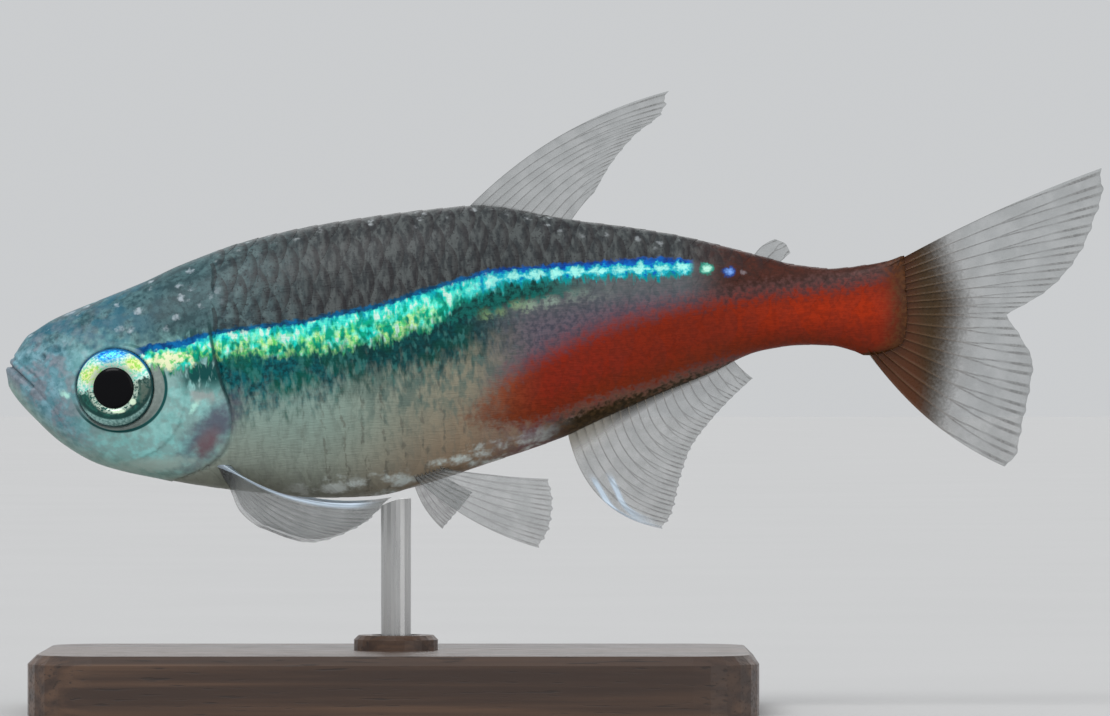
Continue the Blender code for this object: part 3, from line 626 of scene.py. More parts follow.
class Paint:
    """One material's node graph, built call by call. On the fish it knows places in millimetres."""

    def __init__(self, name, on_fish=True):
        self.material = bpy.data.materials.new(name)
        self.material.use_nodes = True
        self.tree = self.material.node_tree
        self.shader = self.tree.nodes["Principled BSDF"]
        if on_fish:
            self.place = self.attribute("place", "Vector")
            split = self.tree.nodes.new("ShaderNodeSeparateXYZ")
            self.tree.links.new(self.place, split.inputs[0])
            self.u, _, self.v = split.outputs

    def put(self, kind, inputs, result=0, **settings):
        """Adds one node; an input is another node's result or a value."""
        node = self.tree.nodes.new(kind)
        for key, value in settings.items():
            setattr(node, key, value)
        for key, value in inputs.items():
            if isinstance(value, bpy.types.NodeSocket):
                self.tree.links.new(value, node.inputs[key])
            elif value is not None:
                node.inputs[key].default_value = value
        return node.outputs[result]

    def attribute(self, name, result="Fac"):
        return self.put("ShaderNodeAttribute", {}, result, attribute_name=name)

    def math(self, operation, a, b=0.0):
        return self.put("ShaderNodeMath", {0: a, 1: b}, operation=operation)

    def add(self, a, b):
        return self.math("ADD", a, b)

    def less(self, a, b):
        """a less b."""
        return self.math("SUBTRACT", a, b)

    def off(self, a, b):
        """How far apart a and b are."""
        return self.math("ABSOLUTE", self.less(a, b))

    def times(self, *factors):
        """The product; of shares, where all of them hold."""
        made = factors[0]
        for factor in factors[1:]:
            made = self.math("MULTIPLY", made, factor)
        return made

    def stir(self, x, noise, reach):
        """x moved about by a noise."""
        return self.add(x, self.times(noise, reach))

    def least(self, a, b):
        return self.math("MINIMUM", a, b)

    def most(self, a, b):
        return self.math("MAXIMUM", a, b)

    def step(self, x, low, high, to_low=0.0, to_high=1.0):
        """x from low to high, eased into to_low to to_high."""
        span = {"From Min": low, "From Max": high, "To Min": to_low, "To Max": to_high}
        return self.put("ShaderNodeMapRange", {"Value": x, **span}, interpolation_type="SMOOTHSTEP")

    def along(self, *span):
        """A step along the body."""
        return self.step(self.u, *span)

    def up(self, *span):
        """A step up the body."""
        return self.step(self.v, *span)

    def line(self, x, points, x_span=(0.0, 31.0), y_span=(-7.0, 7.0)):
        """The height at x of a smooth line through (x, y) places on the flank."""
        (x_low, x_high), (y_low, y_high) = x_span, y_span
        span = {"From Min": x_low, "From Max": x_high, "To Min": 0.0, "To Max": 1.0}
        share = self.put("ShaderNodeMapRange", {"Value": x, **span})
        node = self.tree.nodes.new("ShaderNodeFloatCurve")
        self.tree.links.new(share, node.inputs["Value"])
        node.mapping.extend = "HORIZONTAL"
        inside = node.mapping.curves[0]
        while len(inside.points) < len(points):
            inside.points.new(0.5, 0.5)
        for point, (x, y) in zip(inside.points, points):
            point.location = ((x - x_low) / (x_high - x_low), (y - y_low) / (y_high - y_low))
            point.handle_type = "AUTO_CLAMPED"
        node.mapping.update()
        inputs = {0: node.outputs[0], 1: y_high - y_low, 2: y_low}
        return self.put("ShaderNodeMath", inputs, operation="MULTIPLY_ADD")

    def over(self, points):
        """How far up from a line along the flank the place lies."""
        return self.less(self.v, self.line(self.u, points))

    def spot(self, middle, reach, slant=0.0):
        """Distance from an oval's middle, 1 at its edge; slant leans it forward downwards."""
        dv = self.less(self.v, middle[1])
        du = self.less(self.less(self.u, middle[0]), self.times(dv, slant))
        du, dv = self.math("DIVIDE", du, reach[0]), self.math("DIVIDE", dv, reach[1])
        return self.math("SQRT", self.add(self.times(du, du), self.times(dv, dv)))

    def mapped(self, at, scale, shift=0.0):
        inputs = {"Vector": at, "Scale": scale, "Location": (shift, shift, shift)}
        return self.put("ShaderNodeMapping", inputs)

    def noise(self, scale, detail=2.0, stretch=(1.0, 1.0, 1.0), shift=0.0, rough=0.55):
        inputs = {"Vector": self.mapped(self.place, stretch, shift), "Scale": scale}
        return self.put("ShaderNodeTexNoise", {**inputs, "Detail": detail, "Roughness": rough})

    def cells(self, scale, stretch=(1.0, 1.0, 1.0), shift=0.0):
        """The distance from the nearest of many scattered points, in cell widths."""
        inputs = {"Vector": self.mapped(self.place, stretch, shift), "Scale": scale}
        return self.put("ShaderNodeTexVoronoi", inputs)

    def grain(self, scale, detail, **more):
        """Noise in the object's own frame, drawn out differently along each axis."""
        at = self.mapped(self.put("ShaderNodeTexCoord", {}, "Object"), scale)
        return self.put("ShaderNodeTexNoise", {"Vector": at, "Scale": 1.0, "Detail": detail, **more})

    def mix(self, share, first, second):
        """Two colours mixed."""
        first, second = ((*c, 1.0) if isinstance(c, tuple) else c for c in (first, second))
        return self.put("ShaderNodeMix", {0: share, 6: first, 7: second}, 2, data_type="RGBA")

    def tones(self, x, first, second, low=0.34, high=0.66):
        """From the first colour to the second where x passes from low to high."""
        return self.mix(self.step(x, low, high), first, second)

    def tint(self, colour, second, x, low, high, most=1.0):
        """A colour that takes up to a share of a second one where x passes from low to high."""
        return self.mix(self.step(x, low, high, 0.0, most), colour, second)

    def blend(self, share, first, second):
        """Two numbers mixed."""
        return self.put("ShaderNodeMix", {0: share, 2: first, 3: second}, 0, data_type="FLOAT")

    def bump(self, height, strength, distance):
        inputs = {"Height": height, "Strength": strength, "Distance": distance}
        self.tree.links.new(self.put("ShaderNodeBump", inputs), self.shader.inputs["Normal"])

    def set(self, **inputs):
        """Sets or links the shader's own inputs."""
        for key, value in inputs.items():
            socket = self.shader.inputs[key.replace("_", " ")]
            if isinstance(value, bpy.types.NodeSocket):
                self.tree.links.new(value, socket)
            else:
                socket.default_value = (*value, 1.0) if isinstance(value, tuple) else value


# %% [markdown]
# ## The markings
#
# The blue-green stripe starts over the eye and ends under the small adipose fin. Its colour is
# light thrown back by crystals in the skin, so it glitters. Under it lies a dark teal band, then
# silver down to the belly. The red begins under the stripe at mid-body and fills the tail stalk.
# The lines below are the edges of those fields, in millimetres along and up from the snout.

# %% Marking lines
STRIPE_TOP = (
    (4.1, 0.45), (5.0, 0.72), (5.9, 0.76), (6.83, 0.95), (8.9, 1.08), (10.1, 1.14), (11.3, 1.32),
    (12.5, 1.44), (13.7, 1.74), (14.7, 1.97), (15.6, 2.15), (16.6, 2.33), (18.8, 2.32),
    (21.2, 2.32), (22.4, 2.24), (23.4, 2.06), (24.2, 1.80),
)
STRIPE_LOW = (
    (4.1, 0.1), (5.0, -0.12), (5.8, -0.22), (6.93, 0.05), (8.2, 0.05), (9.4, -0.04),
    (10.6, -0.02), (11.8, 0.06), (13.0, 0.22), (14.4, 0.58), (15.4, 1.22), (16.4, 1.55),
    (17.3, 1.76), (18.7, 1.76), (20.5, 1.68), (21.7, 1.62), (22.9, 1.66), (24.2, 1.72),
)
TEAL_LOW = (
    (5.0, -0.5), (6.8, -1.35), (8.1, -1.30), (9.8, -1.15), (11.5, -0.88), (13.2, -0.72),
    (14.5, -0.60), (15.9, -0.12), (17.2, 0.30), (18.5, 0.85), (20.0, 1.35),
)
CREAM_LINE = (
    (15.0, 0.62), (15.6, 0.75), (16.3, 0.91), (17.1, 1.02), (17.9, 1.11), (18.7, 1.21),
    (19.4, 1.30),
)
RED_TOP = (
    (14.6, -2.8), (15.4, -2.3), (16.4, -1.58), (17.4, -1.02), (18.4, -0.54), (19.4, -0.15),
    (20.4, 0.16), (21.4, 0.38), (23.3, 0.70), (25.2, 0.90), (27.2, 0.97), (29.1, 1.12),
    (30.2, 1.5),
)
RED_LOW = (
    (15.3, -2.76), (17.0, -2.89), (18.4, -2.66), (19.7, -2.27), (21.4, -1.95), (23.1, -1.52),
    (24.5, -1.30), (26.5, -1.30), (28.0, -1.6), (30.2, -2.3),
)
GILL_UP = tuple((float(v), float(u)) for v, u in gill_up)
end_angle = np.radians([180, 160, 150, 140, 125, 110, 90, 45, 0])
end_place = body_point(flesh_end(end_angle), end_angle)
FLESH_END = tuple((float(v), float(u)) for u, _, v in end_place)
print("the red runs from", RED_TOP[0][0], "to", RED_TOP[-1][0], "mm behind the snout")

# %% [markdown]
# Every field shares a few noises, so their edges break up alike: a medium one for patches, a fine
# one for grain, and upright flecks, since the crystals stand in upright rows. The edges are
# stirred by these noises, because on the fish no field ends in a clean line.

# %% What all markings share


class FishPaint(Paint):
    """A paint that knows the noises and edges that all the fish's markings share."""

    def __init__(self, name):
        super().__init__(name)
        self.medium = self.noise(3.0, 3.0, shift=11.0)
        self.fine = self.noise(6.5, shift=5.0)
        self.flecks = self.noise(2.8, stretch=(2.3, 1.0, 0.8), shift=23.0)
        self.speck = self.noise(7.0, shift=13.0, rough=0.6)
        self.ripple = self.less(self.fine, 0.5)
        self.uprights = self.less(self.flecks, 0.5)
        self.blotch = self.times(self.less(self.noise(3.6, shift=91.0), 0.5), 2.4)
        self.top, self.low = self.line(self.u, STRIPE_TOP), self.line(self.u, STRIPE_LOW)
        self.over_top = self.stir(self.less(self.v, self.top), self.ripple, 0.30)
        self.over_low = self.stir(self.less(self.v, self.low), self.uprights, 1.0)
        self.over_belly = self.over(BELLY[1:])
        self.under_red_top = self.less(self.line(self.u, RED_TOP), self.v)
        self.under_red_top = self.stir(self.under_red_top, self.ripple, 1.0)
        edge = self.line(self.v, GILL_UP, (-4.2, 3.2), (4.0, 8.0))
        self.past_gill = self.less(self.u, edge)
        self.dusky = self.tones(self.fine, (0.046, 0.015, 0.01), (0.076, 0.019, 0.011), 0.32, 0.68)


# %% [markdown]
# The back is grey-brown with dark specks, bluer towards the head, and has pale glints near its
# ridge. It turns dusky on the tail stalk.

# %% Back


def back_colour(p):
    rear = p.tones(p.flecks, (0.036, 0.041, 0.044), (0.09, 0.1, 0.1), 0.36, 0.64)
    front = p.tones(p.medium, (0.026, 0.054, 0.064), (0.125, 0.202, 0.211), 0.35, 0.65)
    colour = p.tint(rear, front, p.u, 11.5, 6.5, 0.9)
    specks = p.noise(12.0, 1.0, shift=19.0)
    colour = p.tint(colour, (0.016, 0.014, 0.018), specks, 0.58, 0.70, 0.6)
    near_ridge = p.step(p.less(p.line(p.u, BACK[1:]), p.v), 0.9, 0.2)
    loose = p.stir(p.cells(1.9, shift=41.0), p.ripple, 0.5)
    glint = p.times(near_ridge, p.step(loose, 0.30, 0.06), p.step(p.medium, 0.42, 0.55), 0.7)
    colour = p.mix(glint, colour, (0.42, 0.45, 0.47))
    return p.mix(p.along(22.5, 25.0), colour, p.dusky)


# %% [markdown]
# Flank and belly are silver with faint upright lines, warmer towards the rear. Along the keel
# runs a chain of bright glints. The teal band lies over the silver's top and breaks up into
# upright flecks downwards, which reach lowest at mid-body.

# %% Silver and teal


def silver_colour(p):
    """The silver, and the share of the keel's glints in it."""
    cool = p.tones(p.over_belly, (0.345, 0.38, 0.32), (0.275, 0.395, 0.345), 0.2, 3.2)
    warm = p.tones(p.over_belly, (0.36, 0.258, 0.172), (0.285, 0.265, 0.193), 0.2, 3.2)
    silver = p.mix(p.along(9.5, 15.5), cool, warm)
    silver = p.tint(silver, (0.17, 0.195, 0.165), p.flecks, 0.42, 0.66, 0.28)
    lines = p.math("SINE", p.times(p.stir(p.u, p.medium, 0.5), 9.5))
    lines = p.times(p.step(lines, 0.72, 1.0), p.along(9.0, 11.0), p.along(16.5, 14.5))
    lines = p.times(lines, p.step(p.flecks, 0.42, 0.58, 0.0, 0.5))
    silver = p.mix(lines, silver, (0.125, 0.118, 0.095))
    links = p.stir(p.cells(1.25, stretch=(0.8, 1.0, 1.5), shift=57.0), p.ripple, 0.5)
    from_chain = p.off(p.over_belly, p.step(p.medium, 0.3, 0.7, 0.20, 0.50))
    keel = p.times(p.step(from_chain, 0.44, 0.10), p.step(links, 0.64, 0.26))
    keel = p.times(keel, p.along(8.4, 10.4), p.along(20.0, 18.5))
    return p.mix(keel, silver, (0.86, 0.97, 0.94)), keel


def with_teal(p, silver):
    over_teal = p.stir(p.over(TEAL_LOW), p.uprights, 2.2)
    teal = p.tones(p.fine, (0.0, 0.046, 0.056), (0.0, 0.135, 0.155))
    teal = p.tint(teal, (0.0, 0.12, 0.07), p.noise(1.1, 1.0, shift=67.0), 0.45, 0.58, 0.6)
    teal = p.tint(teal, (0.0, 0.028, 0.026), p.u, 8.5, 12.5, 0.65)
    pale = p.mix(p.medium, (0.01, 0.17, 0.16), (0.07, 0.25, 0.22))
    pale_flecks_and_glints = p.noise(2.6, stretch=(1.8, 1.0, 0.9), shift=37.0)
    teal = p.tint(teal, pale, pale_flecks_and_glints, 0.52, 0.66, 0.6)
    mottle = p.noise(2.2, stretch=(1.6, 1.0, 0.9), shift=91.0)
    mottle = p.times(p.step(mottle, 0.44, 0.60, 0.0, 0.62), p.step(over_teal, -2.5, -0.9))
    mottle = p.times(mottle, p.along(10.5, 13.0), p.along(18.0, 16.0))
    silver = p.mix(mottle, silver, (0.08, 0.15, 0.135))
    return p.mix(p.step(over_teal, -1.05, 0.60), silver, teal)


# %% [markdown]
# Behind mid-body the teal narrows to a dark wedge, and the flank turns violet-grey under one line
# of cream glints.

# %% Violet and cream


def with_violet(p, side):
    over_cream = p.over(CREAM_LINE)
    violet = p.tones(p.fine, (0.068, 0.066, 0.092), (0.145, 0.118, 0.148))
    grey = p.mix(p.medium, (0.06, 0.085, 0.09), (0.17, 0.2, 0.19))
    violet = p.mix(p.times(p.step(over_cream, -0.9, 0.2), 0.6), violet, grey)
    side = p.mix(p.times(p.along(15.2, 18.0), p.up(-2.4, -0.9)), side, violet)
    over_cream = p.stir(over_cream, p.ripple, 0.7)
    wedge = p.times(p.step(over_cream, -0.05, 0.20), p.along(20.5, 17.8), p.along(13.4, 15.0))
    side = p.mix(wedge, side, p.tones(p.fine, (0.0, 0.042, 0.038), (0.004, 0.13, 0.11), 0.38, 0.62))
    cream = p.step(p.math("ABSOLUTE", over_cream), 0.32, 0.02)
    cream = p.times(cream, p.step(p.cells(1.9, shift=17.0), 0.80, 0.30))
    cream = p.times(cream, p.along(15.7, 16.5), p.along(21.0, 18.4))
    cream = p.times(cream, p.step(p.fine, 0.36, 0.54, 0.3, 1.0), 0.80)
    return p.mix(cream, side, p.mix(p.along(16.4, 18.2), (0.3, 0.46, 0.18), (0.27, 0.36, 0.3)))


# %% [markdown]
# The red fades in at mid-body through orange, with a pink haze over its top edge. It keeps clear
# of the belly's brown edge and has a painted highlight, a brighter band, along the middle of the
# stalk, whose top is dusky. At the tail's root it ends in olive-brown.

# %% Red and stalk


def with_red(p, side):
    over_red_low = p.stir(p.over(RED_LOW), p.ripple, 0.8)
    red_share = p.times(p.step(p.under_red_top, -0.55, 0.45), p.step(over_red_low, -0.35, 0.30))
    start = p.stir(p.stir(p.u, p.ripple, 1.4), p.medium, 1.6)
    red_share = p.times(red_share, p.step(start, 15.1, 17.8))
    pink = p.times(p.step(p.under_red_top, -0.9, -0.1), p.along(15.0, 17.5), p.along(24.0, 20.0))
    pink = p.times(pink, p.step(p.medium, 0.3, 0.7, 0.25, 0.8))
    side = p.mix(pink, side, (0.17, 0.07, 0.098))
    red = p.mix(p.along(15.8, 18.2), (0.26, 0.072, 0.026), (0.27, 0.017, 0.003))
    red = p.tint(red, (0.2, 0.018, 0.001), p.u, 19.0, 22.0, 0.5)
    red = p.tint(red, (0.17, 0.028, 0.003), over_red_low, 1.1, 0.1, 0.6)
    # Painted highlight: a brighter red band along the middle of the tail stalk.
    stalk_highlight = p.times(p.along(23.0, 27.0), p.step(p.off(p.v, 0.10), 0.95, 0.0), 0.9)
    red = p.mix(stalk_highlight, red, (0.4, 0.026, 0.001))
    red = p.mix(p.step(p.fine, 0.35, 0.62, 0.35, 0.0), red, (0.1, 0.008, 0.001))
    brown = p.tones(p.fine, (0.03, 0.018, 0.006), (0.074, 0.043, 0.016))
    side = p.mix(p.times(p.step(over_red_low, 0.15, -0.35), p.along(17.0, 19.0)), side, brown)
    return p.mix(red_share, side, red)


def with_stalk_ends(p, side):
    side = p.mix(p.times(p.along(22.5, 24.5), p.step(p.under_red_top, 0.50, -0.50)), side, p.dusky)
    past_flesh = p.less(p.u, p.line(p.v, FLESH_END, (-2.4, 2.0), (28.0, 31.0)))
    olive = p.tones(p.fine, (0.058, 0.02, 0.005), (0.105, 0.036, 0.01), 0.36, 0.64)
    return p.tint(side, olive, p.stir(past_flesh, p.ripple, 0.8), -1.00, -0.05)


# %% [markdown]
# In front the stripe is green-gold flecks on turquoise. Behind mid-body it narrows to one
# blue-white bead to each scale. A deep blue lip runs along its top edge, widest over the eye.

# %% Stripe
BEAD_WAVE = 8.97
LAST_BEAD = 23.6


def stripe_colour(p):
    share_up = p.math("DIVIDE", p.over_low, p.add(p.less(p.top, p.low), 0.05))
    rear = p.along(14.5, 17.5)
    field = p.tones(share_up, (0.0, 0.19, 0.11), (0.0, 0.46, 0.27), 0.05, 0.45)
    field = p.tint(field, (0.0, 0.44, 0.56), share_up, 0.55, 0.85)
    field = p.mix(p.step(p.medium, 0.36, 0.52, 0.55, 0.0), field, (0.0, 0.15, 0.12))
    field = p.mix(rear, field, p.tones(p.over_low, (0.0, 0.3, 0.3), (0.0, 0.14, 0.56), 0.10, 0.38))
    gold = p.times(p.step(share_up, 0.75, 0.35), p.along(16.0, 13.5))
    gold = p.times(gold, p.step(p.noise(1.7, shift=71.0), 0.36, 0.52))
    shine = p.tones(p.medium, (0.005, 0.82, 0.68), (0.13, 1.0, 0.8), 0.40, 0.60)
    shine = p.mix(gold, shine, p.tones(p.fine, (0.16, 0.8, 0.2), (0.62, 1.0, 0.38), 0.40, 0.60))
    spark = p.noise(3.9, 1.6, stretch=(1.35, 1.0, 0.75), shift=3.0)
    shine = p.tint(shine, (0.7, 1.0, 0.86), spark, 0.56, 0.68)
    shine_share = p.times(p.step(spark, 0.38, 0.55), p.step(share_up, 0.0, 0.35, 0.30, 1.0))
    front = p.mix(shine_share, field, shine)
    beads = p.math("COSINE", p.times(p.stir(p.less(p.u, LAST_BEAD), p.medium, 0.25), BEAD_WAVE))
    from_core = p.off(p.v, p.times(p.add(p.top, p.low), 0.5))
    from_core = p.stir(p.less(from_core, p.times(beads, 0.09)), p.ripple, 0.6)
    bead = p.tint(field, (0.01, 0.52, 0.62), from_core, 0.24, 0.12)
    bead = p.tint(bead, (0.4, 1.0, 0.9), from_core, 0.14, -0.04)
    lip = p.add(p.step(rear, 0.0, 1.0, 0.02, -0.02), p.along(7.2, 6.0, 0.0, 0.10))
    lip = p.step(p.add(p.over_top, lip), -0.16, -0.05)
    azure = p.tones(p.medium, (0.0, 0.05, 0.3), (0.0, 0.11, 0.48), 0.4, 0.6)
    front_lip = p.tones(p.medium, (0.0, 0.06, 0.15), (0.0, 0.13, 0.31), 0.4, 0.6)
    brow_lip = p.tones(p.medium, (0.0, 0.05, 0.19), (0.0, 0.15, 0.42), 0.36, 0.64)
    front_lip = p.mix(p.along(7.2, 6.4), front_lip, brow_lip)
    return p.mix(lip, p.mix(rear, front, bead), p.mix(rear, front_lip, azure))


# %% [markdown]
# Past the stripe's end three scales still shine: a green dot, a blue one and a faint one. Between
# the eye and the gill cover's edge the stripe is one pale gold patch under blue.

# %% Dots and patch


def with_dots(p, stripe):
    """The stripe's colour with its dots, and where there is a stripe or a dot."""
    dots = p.least(p.spot((23.60, 1.83), (0.24, 0.21)), p.spot((24.33, 1.67), (0.21, 0.18)))
    dots = p.least(dots, p.add(p.spot((24.78, 1.60), (0.14, 0.12)), 0.35))
    dots = p.stir(dots, p.ripple, 1.4)
    core = p.step(dots, 0.9, 0.2)
    green, blue = (0.02, 0.33, 0.24), (0.02, 0.075, 0.33)
    stripe = p.tint(stripe, p.mix(core, green, (0.55, 1.0, 0.8)), p.u, 23.1, 23.3)
    stripe = p.tint(stripe, p.mix(core, blue, (0.22, 0.42, 0.9)), p.u, 23.9, 24.0)
    stripe = p.tint(stripe, (0.22, 0.17, 0.18), p.u, 24.55, 24.6)
    inside = p.times(p.step(p.over_low, -0.10, 0.12), p.along(4.3, 4.8), p.along(23.25, 22.95))
    return stripe, p.most(inside, p.step(dots, 1.30, 0.70))


def with_patch(p, stripe):
    gold = p.tones(p.stir(p.fine, p.blotch, 0.3), (0.24, 0.76, 0.24), (0.96, 1.0, 0.64), 0.64, 0.44)
    return p.tint(stripe, gold, p.add(p.spot((5.62, 0.15), (0.80, 0.32)), p.blotch), 1.15, 0.60)


# %% [markdown]
# The head has a mottled grey-blue crown with small pale spots of painted glint, a silvery snout and
# a pale teal cheek, each clouded with lilac, and a paler jaw line. The cheek is lighter low down,
# partly its own paler silver and partly painted light.

# %% Crown, snout, cheek and jaw


def head_colour(p):
    lilac = p.tones(p.fine, (0.16, 0.18, 0.215), (0.265, 0.28, 0.325))
    lilac_share = p.step(p.stir(p.noise(1.5, shift=61.0), p.ripple, 0.3), 0.42, 0.60)
    crown = p.tones(p.medium, (0.03, 0.088, 0.105), (0.105, 0.225, 0.245))
    crown = p.tint(crown, (0.014, 0.055, 0.07), p.speck, 0.52, 0.64, 0.6)
    blue = p.times(p.step(p.noise(1.3, shift=29.0), 0.44, 0.60, 0.0, 0.7), p.along(6.0, 4.0))
    crown = p.mix(blue, crown, (0.01, 0.12, 0.185))
    crown = p.tint(crown, (0.03, 0.046, 0.048), p.u, 3.8, 5.8, 0.45)
    # The crown's small pale spots are painted glints, highlights laid into the colour.
    pale_flecks_and_glints = p.stir(p.cells(1.7, shift=83.0), p.ripple, 0.6)
    crown = p.tint(crown, (0.5, 0.58, 0.64), pale_flecks_and_glints, 0.32, 0.04, 0.62)
    crown = p.mix(p.times(lilac_share, p.along(4.6, 2.6, 0.0, 0.22)), crown, lilac)
    snout = p.tones(p.medium, (0.115, 0.28, 0.335), (0.225, 0.425, 0.5))
    snout = p.tint(snout, (0.06, 0.19, 0.22), p.speck, 0.50, 0.66, 0.5)
    snout = p.mix(p.times(lilac_share, 0.80), snout, lilac)
    cheek = p.tones(p.medium, (0.22, 0.5, 0.48), (0.34, 0.68, 0.65), 0.30, 0.70)
    # Lighter towards the cheek's bottom: partly its own paler silver, partly painted light that lifts
    # the shade under the head.
    cheek = p.tint(cheek, (0.36, 0.82, 0.8), p.v, -2.0, -2.9, 0.8)
    cheek = p.mix(p.times(lilac_share, 0.45), cheek, (0.26, 0.3, 0.29))
    jaw = p.tones(p.medium, (0.21, 0.33, 0.28), (0.36, 0.5, 0.43))
    face = p.tint(p.mix(p.along(1.6, 3.6), snout, cheek), jaw, p.over_belly, 0.8, 0.0, 0.8)
    return face, crown


# %% [markdown]
# The gill cover is thin, so the red gills show through it as a wine patch. Dark teal lies behind
# the eye, two mint glints and a grey cloud on the cheek, and a pale line on the throat. A silver
# crescent lies low and behind the eye, edged by a dark line of painted shade along the skin's fold.

# %% Marks of the face


def gill_wine(p):
    """Where the gills show through their cover, and in what colour."""
    wine = p.stir(p.spot((6.74, -2.36), (0.80, 1.20), 0.68), p.less(p.medium, 0.5), 0.9)
    low = p.step(p.spot((6.55, -2.75), (0.42, 0.55), 0.6), 1.4, 0.4)
    colour = p.mix(low, (0.102, 0.082, 0.135), (0.18, 0.06, 0.088))
    return p.step(wine, 1.35, 0.35, 0.0, 0.85), colour


def with_face_marks(p, face, crown):
    behind = p.times(p.along(5.6, 6.3), p.up(-1.3, -0.5), p.step(p.flecks, 0.34, 0.52))
    face = p.mix(behind, face, (0.004, 0.075, 0.072))
    mint = p.least(p.spot((6.32, -1.42), (0.12, 0.24), 0.5), p.spot((2.02, -0.72), (0.13, 0.15), -0.5))
    face = p.tint(face, (0.5, 0.9, 0.78), p.stir(mint, p.ripple, 2.0), 1.5, 0.2)
    cloud = p.add(p.spot((6.55, -1.12), (0.50, 0.22), -0.4), p.blotch)
    face = p.tint(face, (0.4, 0.4, 0.39), cloud, 1.3, 0.3, 0.6)
    throat = p.stir(p.spot((4.9, -3.30), (1.30, 0.24)), p.blotch, 0.6)
    face = p.tint(face, (0.5, 0.66, 0.6), throat, 1.5, 0.3, 0.8)
    over_brow = p.stir(p.less(p.v, p.along(1.0, 5.0, 0.95, 0.5)), p.blotch, 0.7)
    return p.tint(face, crown, over_brow, -0.80, 0.90)


def with_socket(p, face):
    socket = p.spot((EYE_PLACE[0] + 0.15, EYE_PLACE[1] - 0.02), (1.52, 1.42))
    rearward = p.less(p.u, p.v)
    silver = p.mix(p.speck, (0.15, 0.2, 0.19), (0.33, 0.39, 0.36))
    face = p.mix(p.times(p.step(socket, 1.02, 0.98), p.step(rearward, 3.3, 4.9)), face, silver)
    # Painted shade: a dark line along the skin's fold, low and behind the socket.
    fold = p.times(p.step(p.off(socket, 1.03), 0.05, 0.02), p.step(rearward, 2.6, 4.6))
    return p.mix(fold, face, (0.008, 0.08, 0.078))


# %% [markdown]
# The fields are laid over each other in order: flank, head, back, stripe, and last a dark line
# of painted shade in the slit of the gill opening. Low down the head fades into the flank without
# an edge. The stripe and the keel's glints are a little metallic. Skin and scales get the same
# paint. The scales add a dark rim on the back, a tone of their own and fine rays.

# %% Skin and scale paints


def paint_fish(p):
    """Sets how the fish shines, and returns its colour."""
    silver, keel = silver_colour(p)
    side = with_stalk_ends(p, with_red(p, with_violet(p, with_teal(p, silver))))
    face, crown = head_colour(p)
    wine, wine_colour = gill_wine(p)
    face = with_face_marks(p, p.mix(wine, face, wine_colour), crown)
    face = with_socket(p, face)
    low = p.up(-1.9, -2.9)
    head = p.blend(low, p.step(p.past_gill, 0.06, -0.02), p.step(p.past_gill, 0.30, -0.90))
    side = p.mix(head, p.mix(wine, side, wine_colour), face)
    back = p.tint(back_colour(p), face, p.past_gill, 0.9, -0.4)
    colour = p.tint(side, back, p.over_top, -0.06, 0.08)
    stripe, in_stripe = with_dots(p, stripe_colour(p))
    striped = p.times(in_stripe, p.step(p.over_top, 0.08, -0.02))
    colour = p.mix(striped, colour, with_patch(p, stripe))
    # Painted shade: a dark line in the slit of the gill opening, weaker low down.
    gill_gap_shade = p.times(p.step(p.off(p.past_gill, 0.03), 0.10, 0.02), p.up(1.6, 1.0))
    gill_gap_shade = p.times(gill_gap_shade, p.up(-2.2, -0.9, 0.10, 0.85), p.up(-3.9, -3.2))
    colour = p.mix(gill_gap_shade, colour, (0.006, 0.04, 0.042))
    metal = p.most(p.times(striped, 0.30), p.times(keel, 0.15))
    p.set(Metallic=metal, Roughness=p.step(p.medium, 0.3, 0.7, 0.36, 0.52))
    p.set(Specular_IOR_Level=0.12, Coat_Weight=0.06, Coat_Roughness=0.15)
    return colour


skin_paint = FishPaint("tetra_skin")
skin_paint.set(Base_Color=paint_fish(skin_paint))
skin_paint.bump(skin_paint.fine, 0.25, 0.00004)
fleshy = ("head", "lower_jaw", "gill_cover_left", "gill_cover_right", "trunk", "tail_stalk")
finish_piece(skin, skin_paint.material, "flank_skin", *fleshy)

p = FishPaint("tetra_scale")
colour = paint_fish(p)
across = p.attribute("across")
rim = p.step(p.attribute("along"), 0.70, 0.97)
rim = p.times(rim, p.step(p.less(p.v, p.top), -0.3, 0.2, 0.05, 0.60))
rim = p.times(rim, p.step(p.times(across, across), 0.75, 0.15, 0.35, 1.0))
colour = p.mix(rim, colour, (0.02, 0.015, 0.017))
p.set(Base_Color=p.tint(colour, (0.02, 0.03, 0.03), p.attribute("own"), 0.0, 1.0, 0.10))
p.bump(p.noise(7.0, 1.0, stretch=(0.4, 1.0, 2.6), shift=3.0), 0.30, 0.00004)
for piece in scale_pieces:
    finish_piece(piece, p.material, "red_skin" if "rear" in piece.name else "flank_skin")
print("nodes in the scales' paint:", len(p.tree.nodes))

# %% [markdown]
# ## The eyes
#
# A tetra's eye is a wide, shallow ball, nearly flush with the head. The pupil is the black lens,
# which stands out a little, in a ring of iris that mirrors light. The shape is a profile turned
# about the eye's axis: how far out from the axis, and how high over the flank.

# %% Eyeballs
EYE_PROFILE = (
    (0.00, 0.245), (0.15, 0.243), (0.30, 0.236), (0.45, 0.222), (0.57, 0.200), (0.64, 0.170),
    (0.675, 0.140), (0.70, 0.150), (0.74, 0.185), (0.82, 0.200), (0.95, 0.185), (1.08, 0.140),
    (1.18, 0.080), (1.26, 0.00), (1.305, -0.12), (1.305, -0.35), (1.22, -0.55), (1.0, -0.68),
    (0.6, -0.74),
)
EYE_SIDES = 96
EYE_RINGS = 60
EYE_FRONT, EYE_BACK = 0.245, -0.75


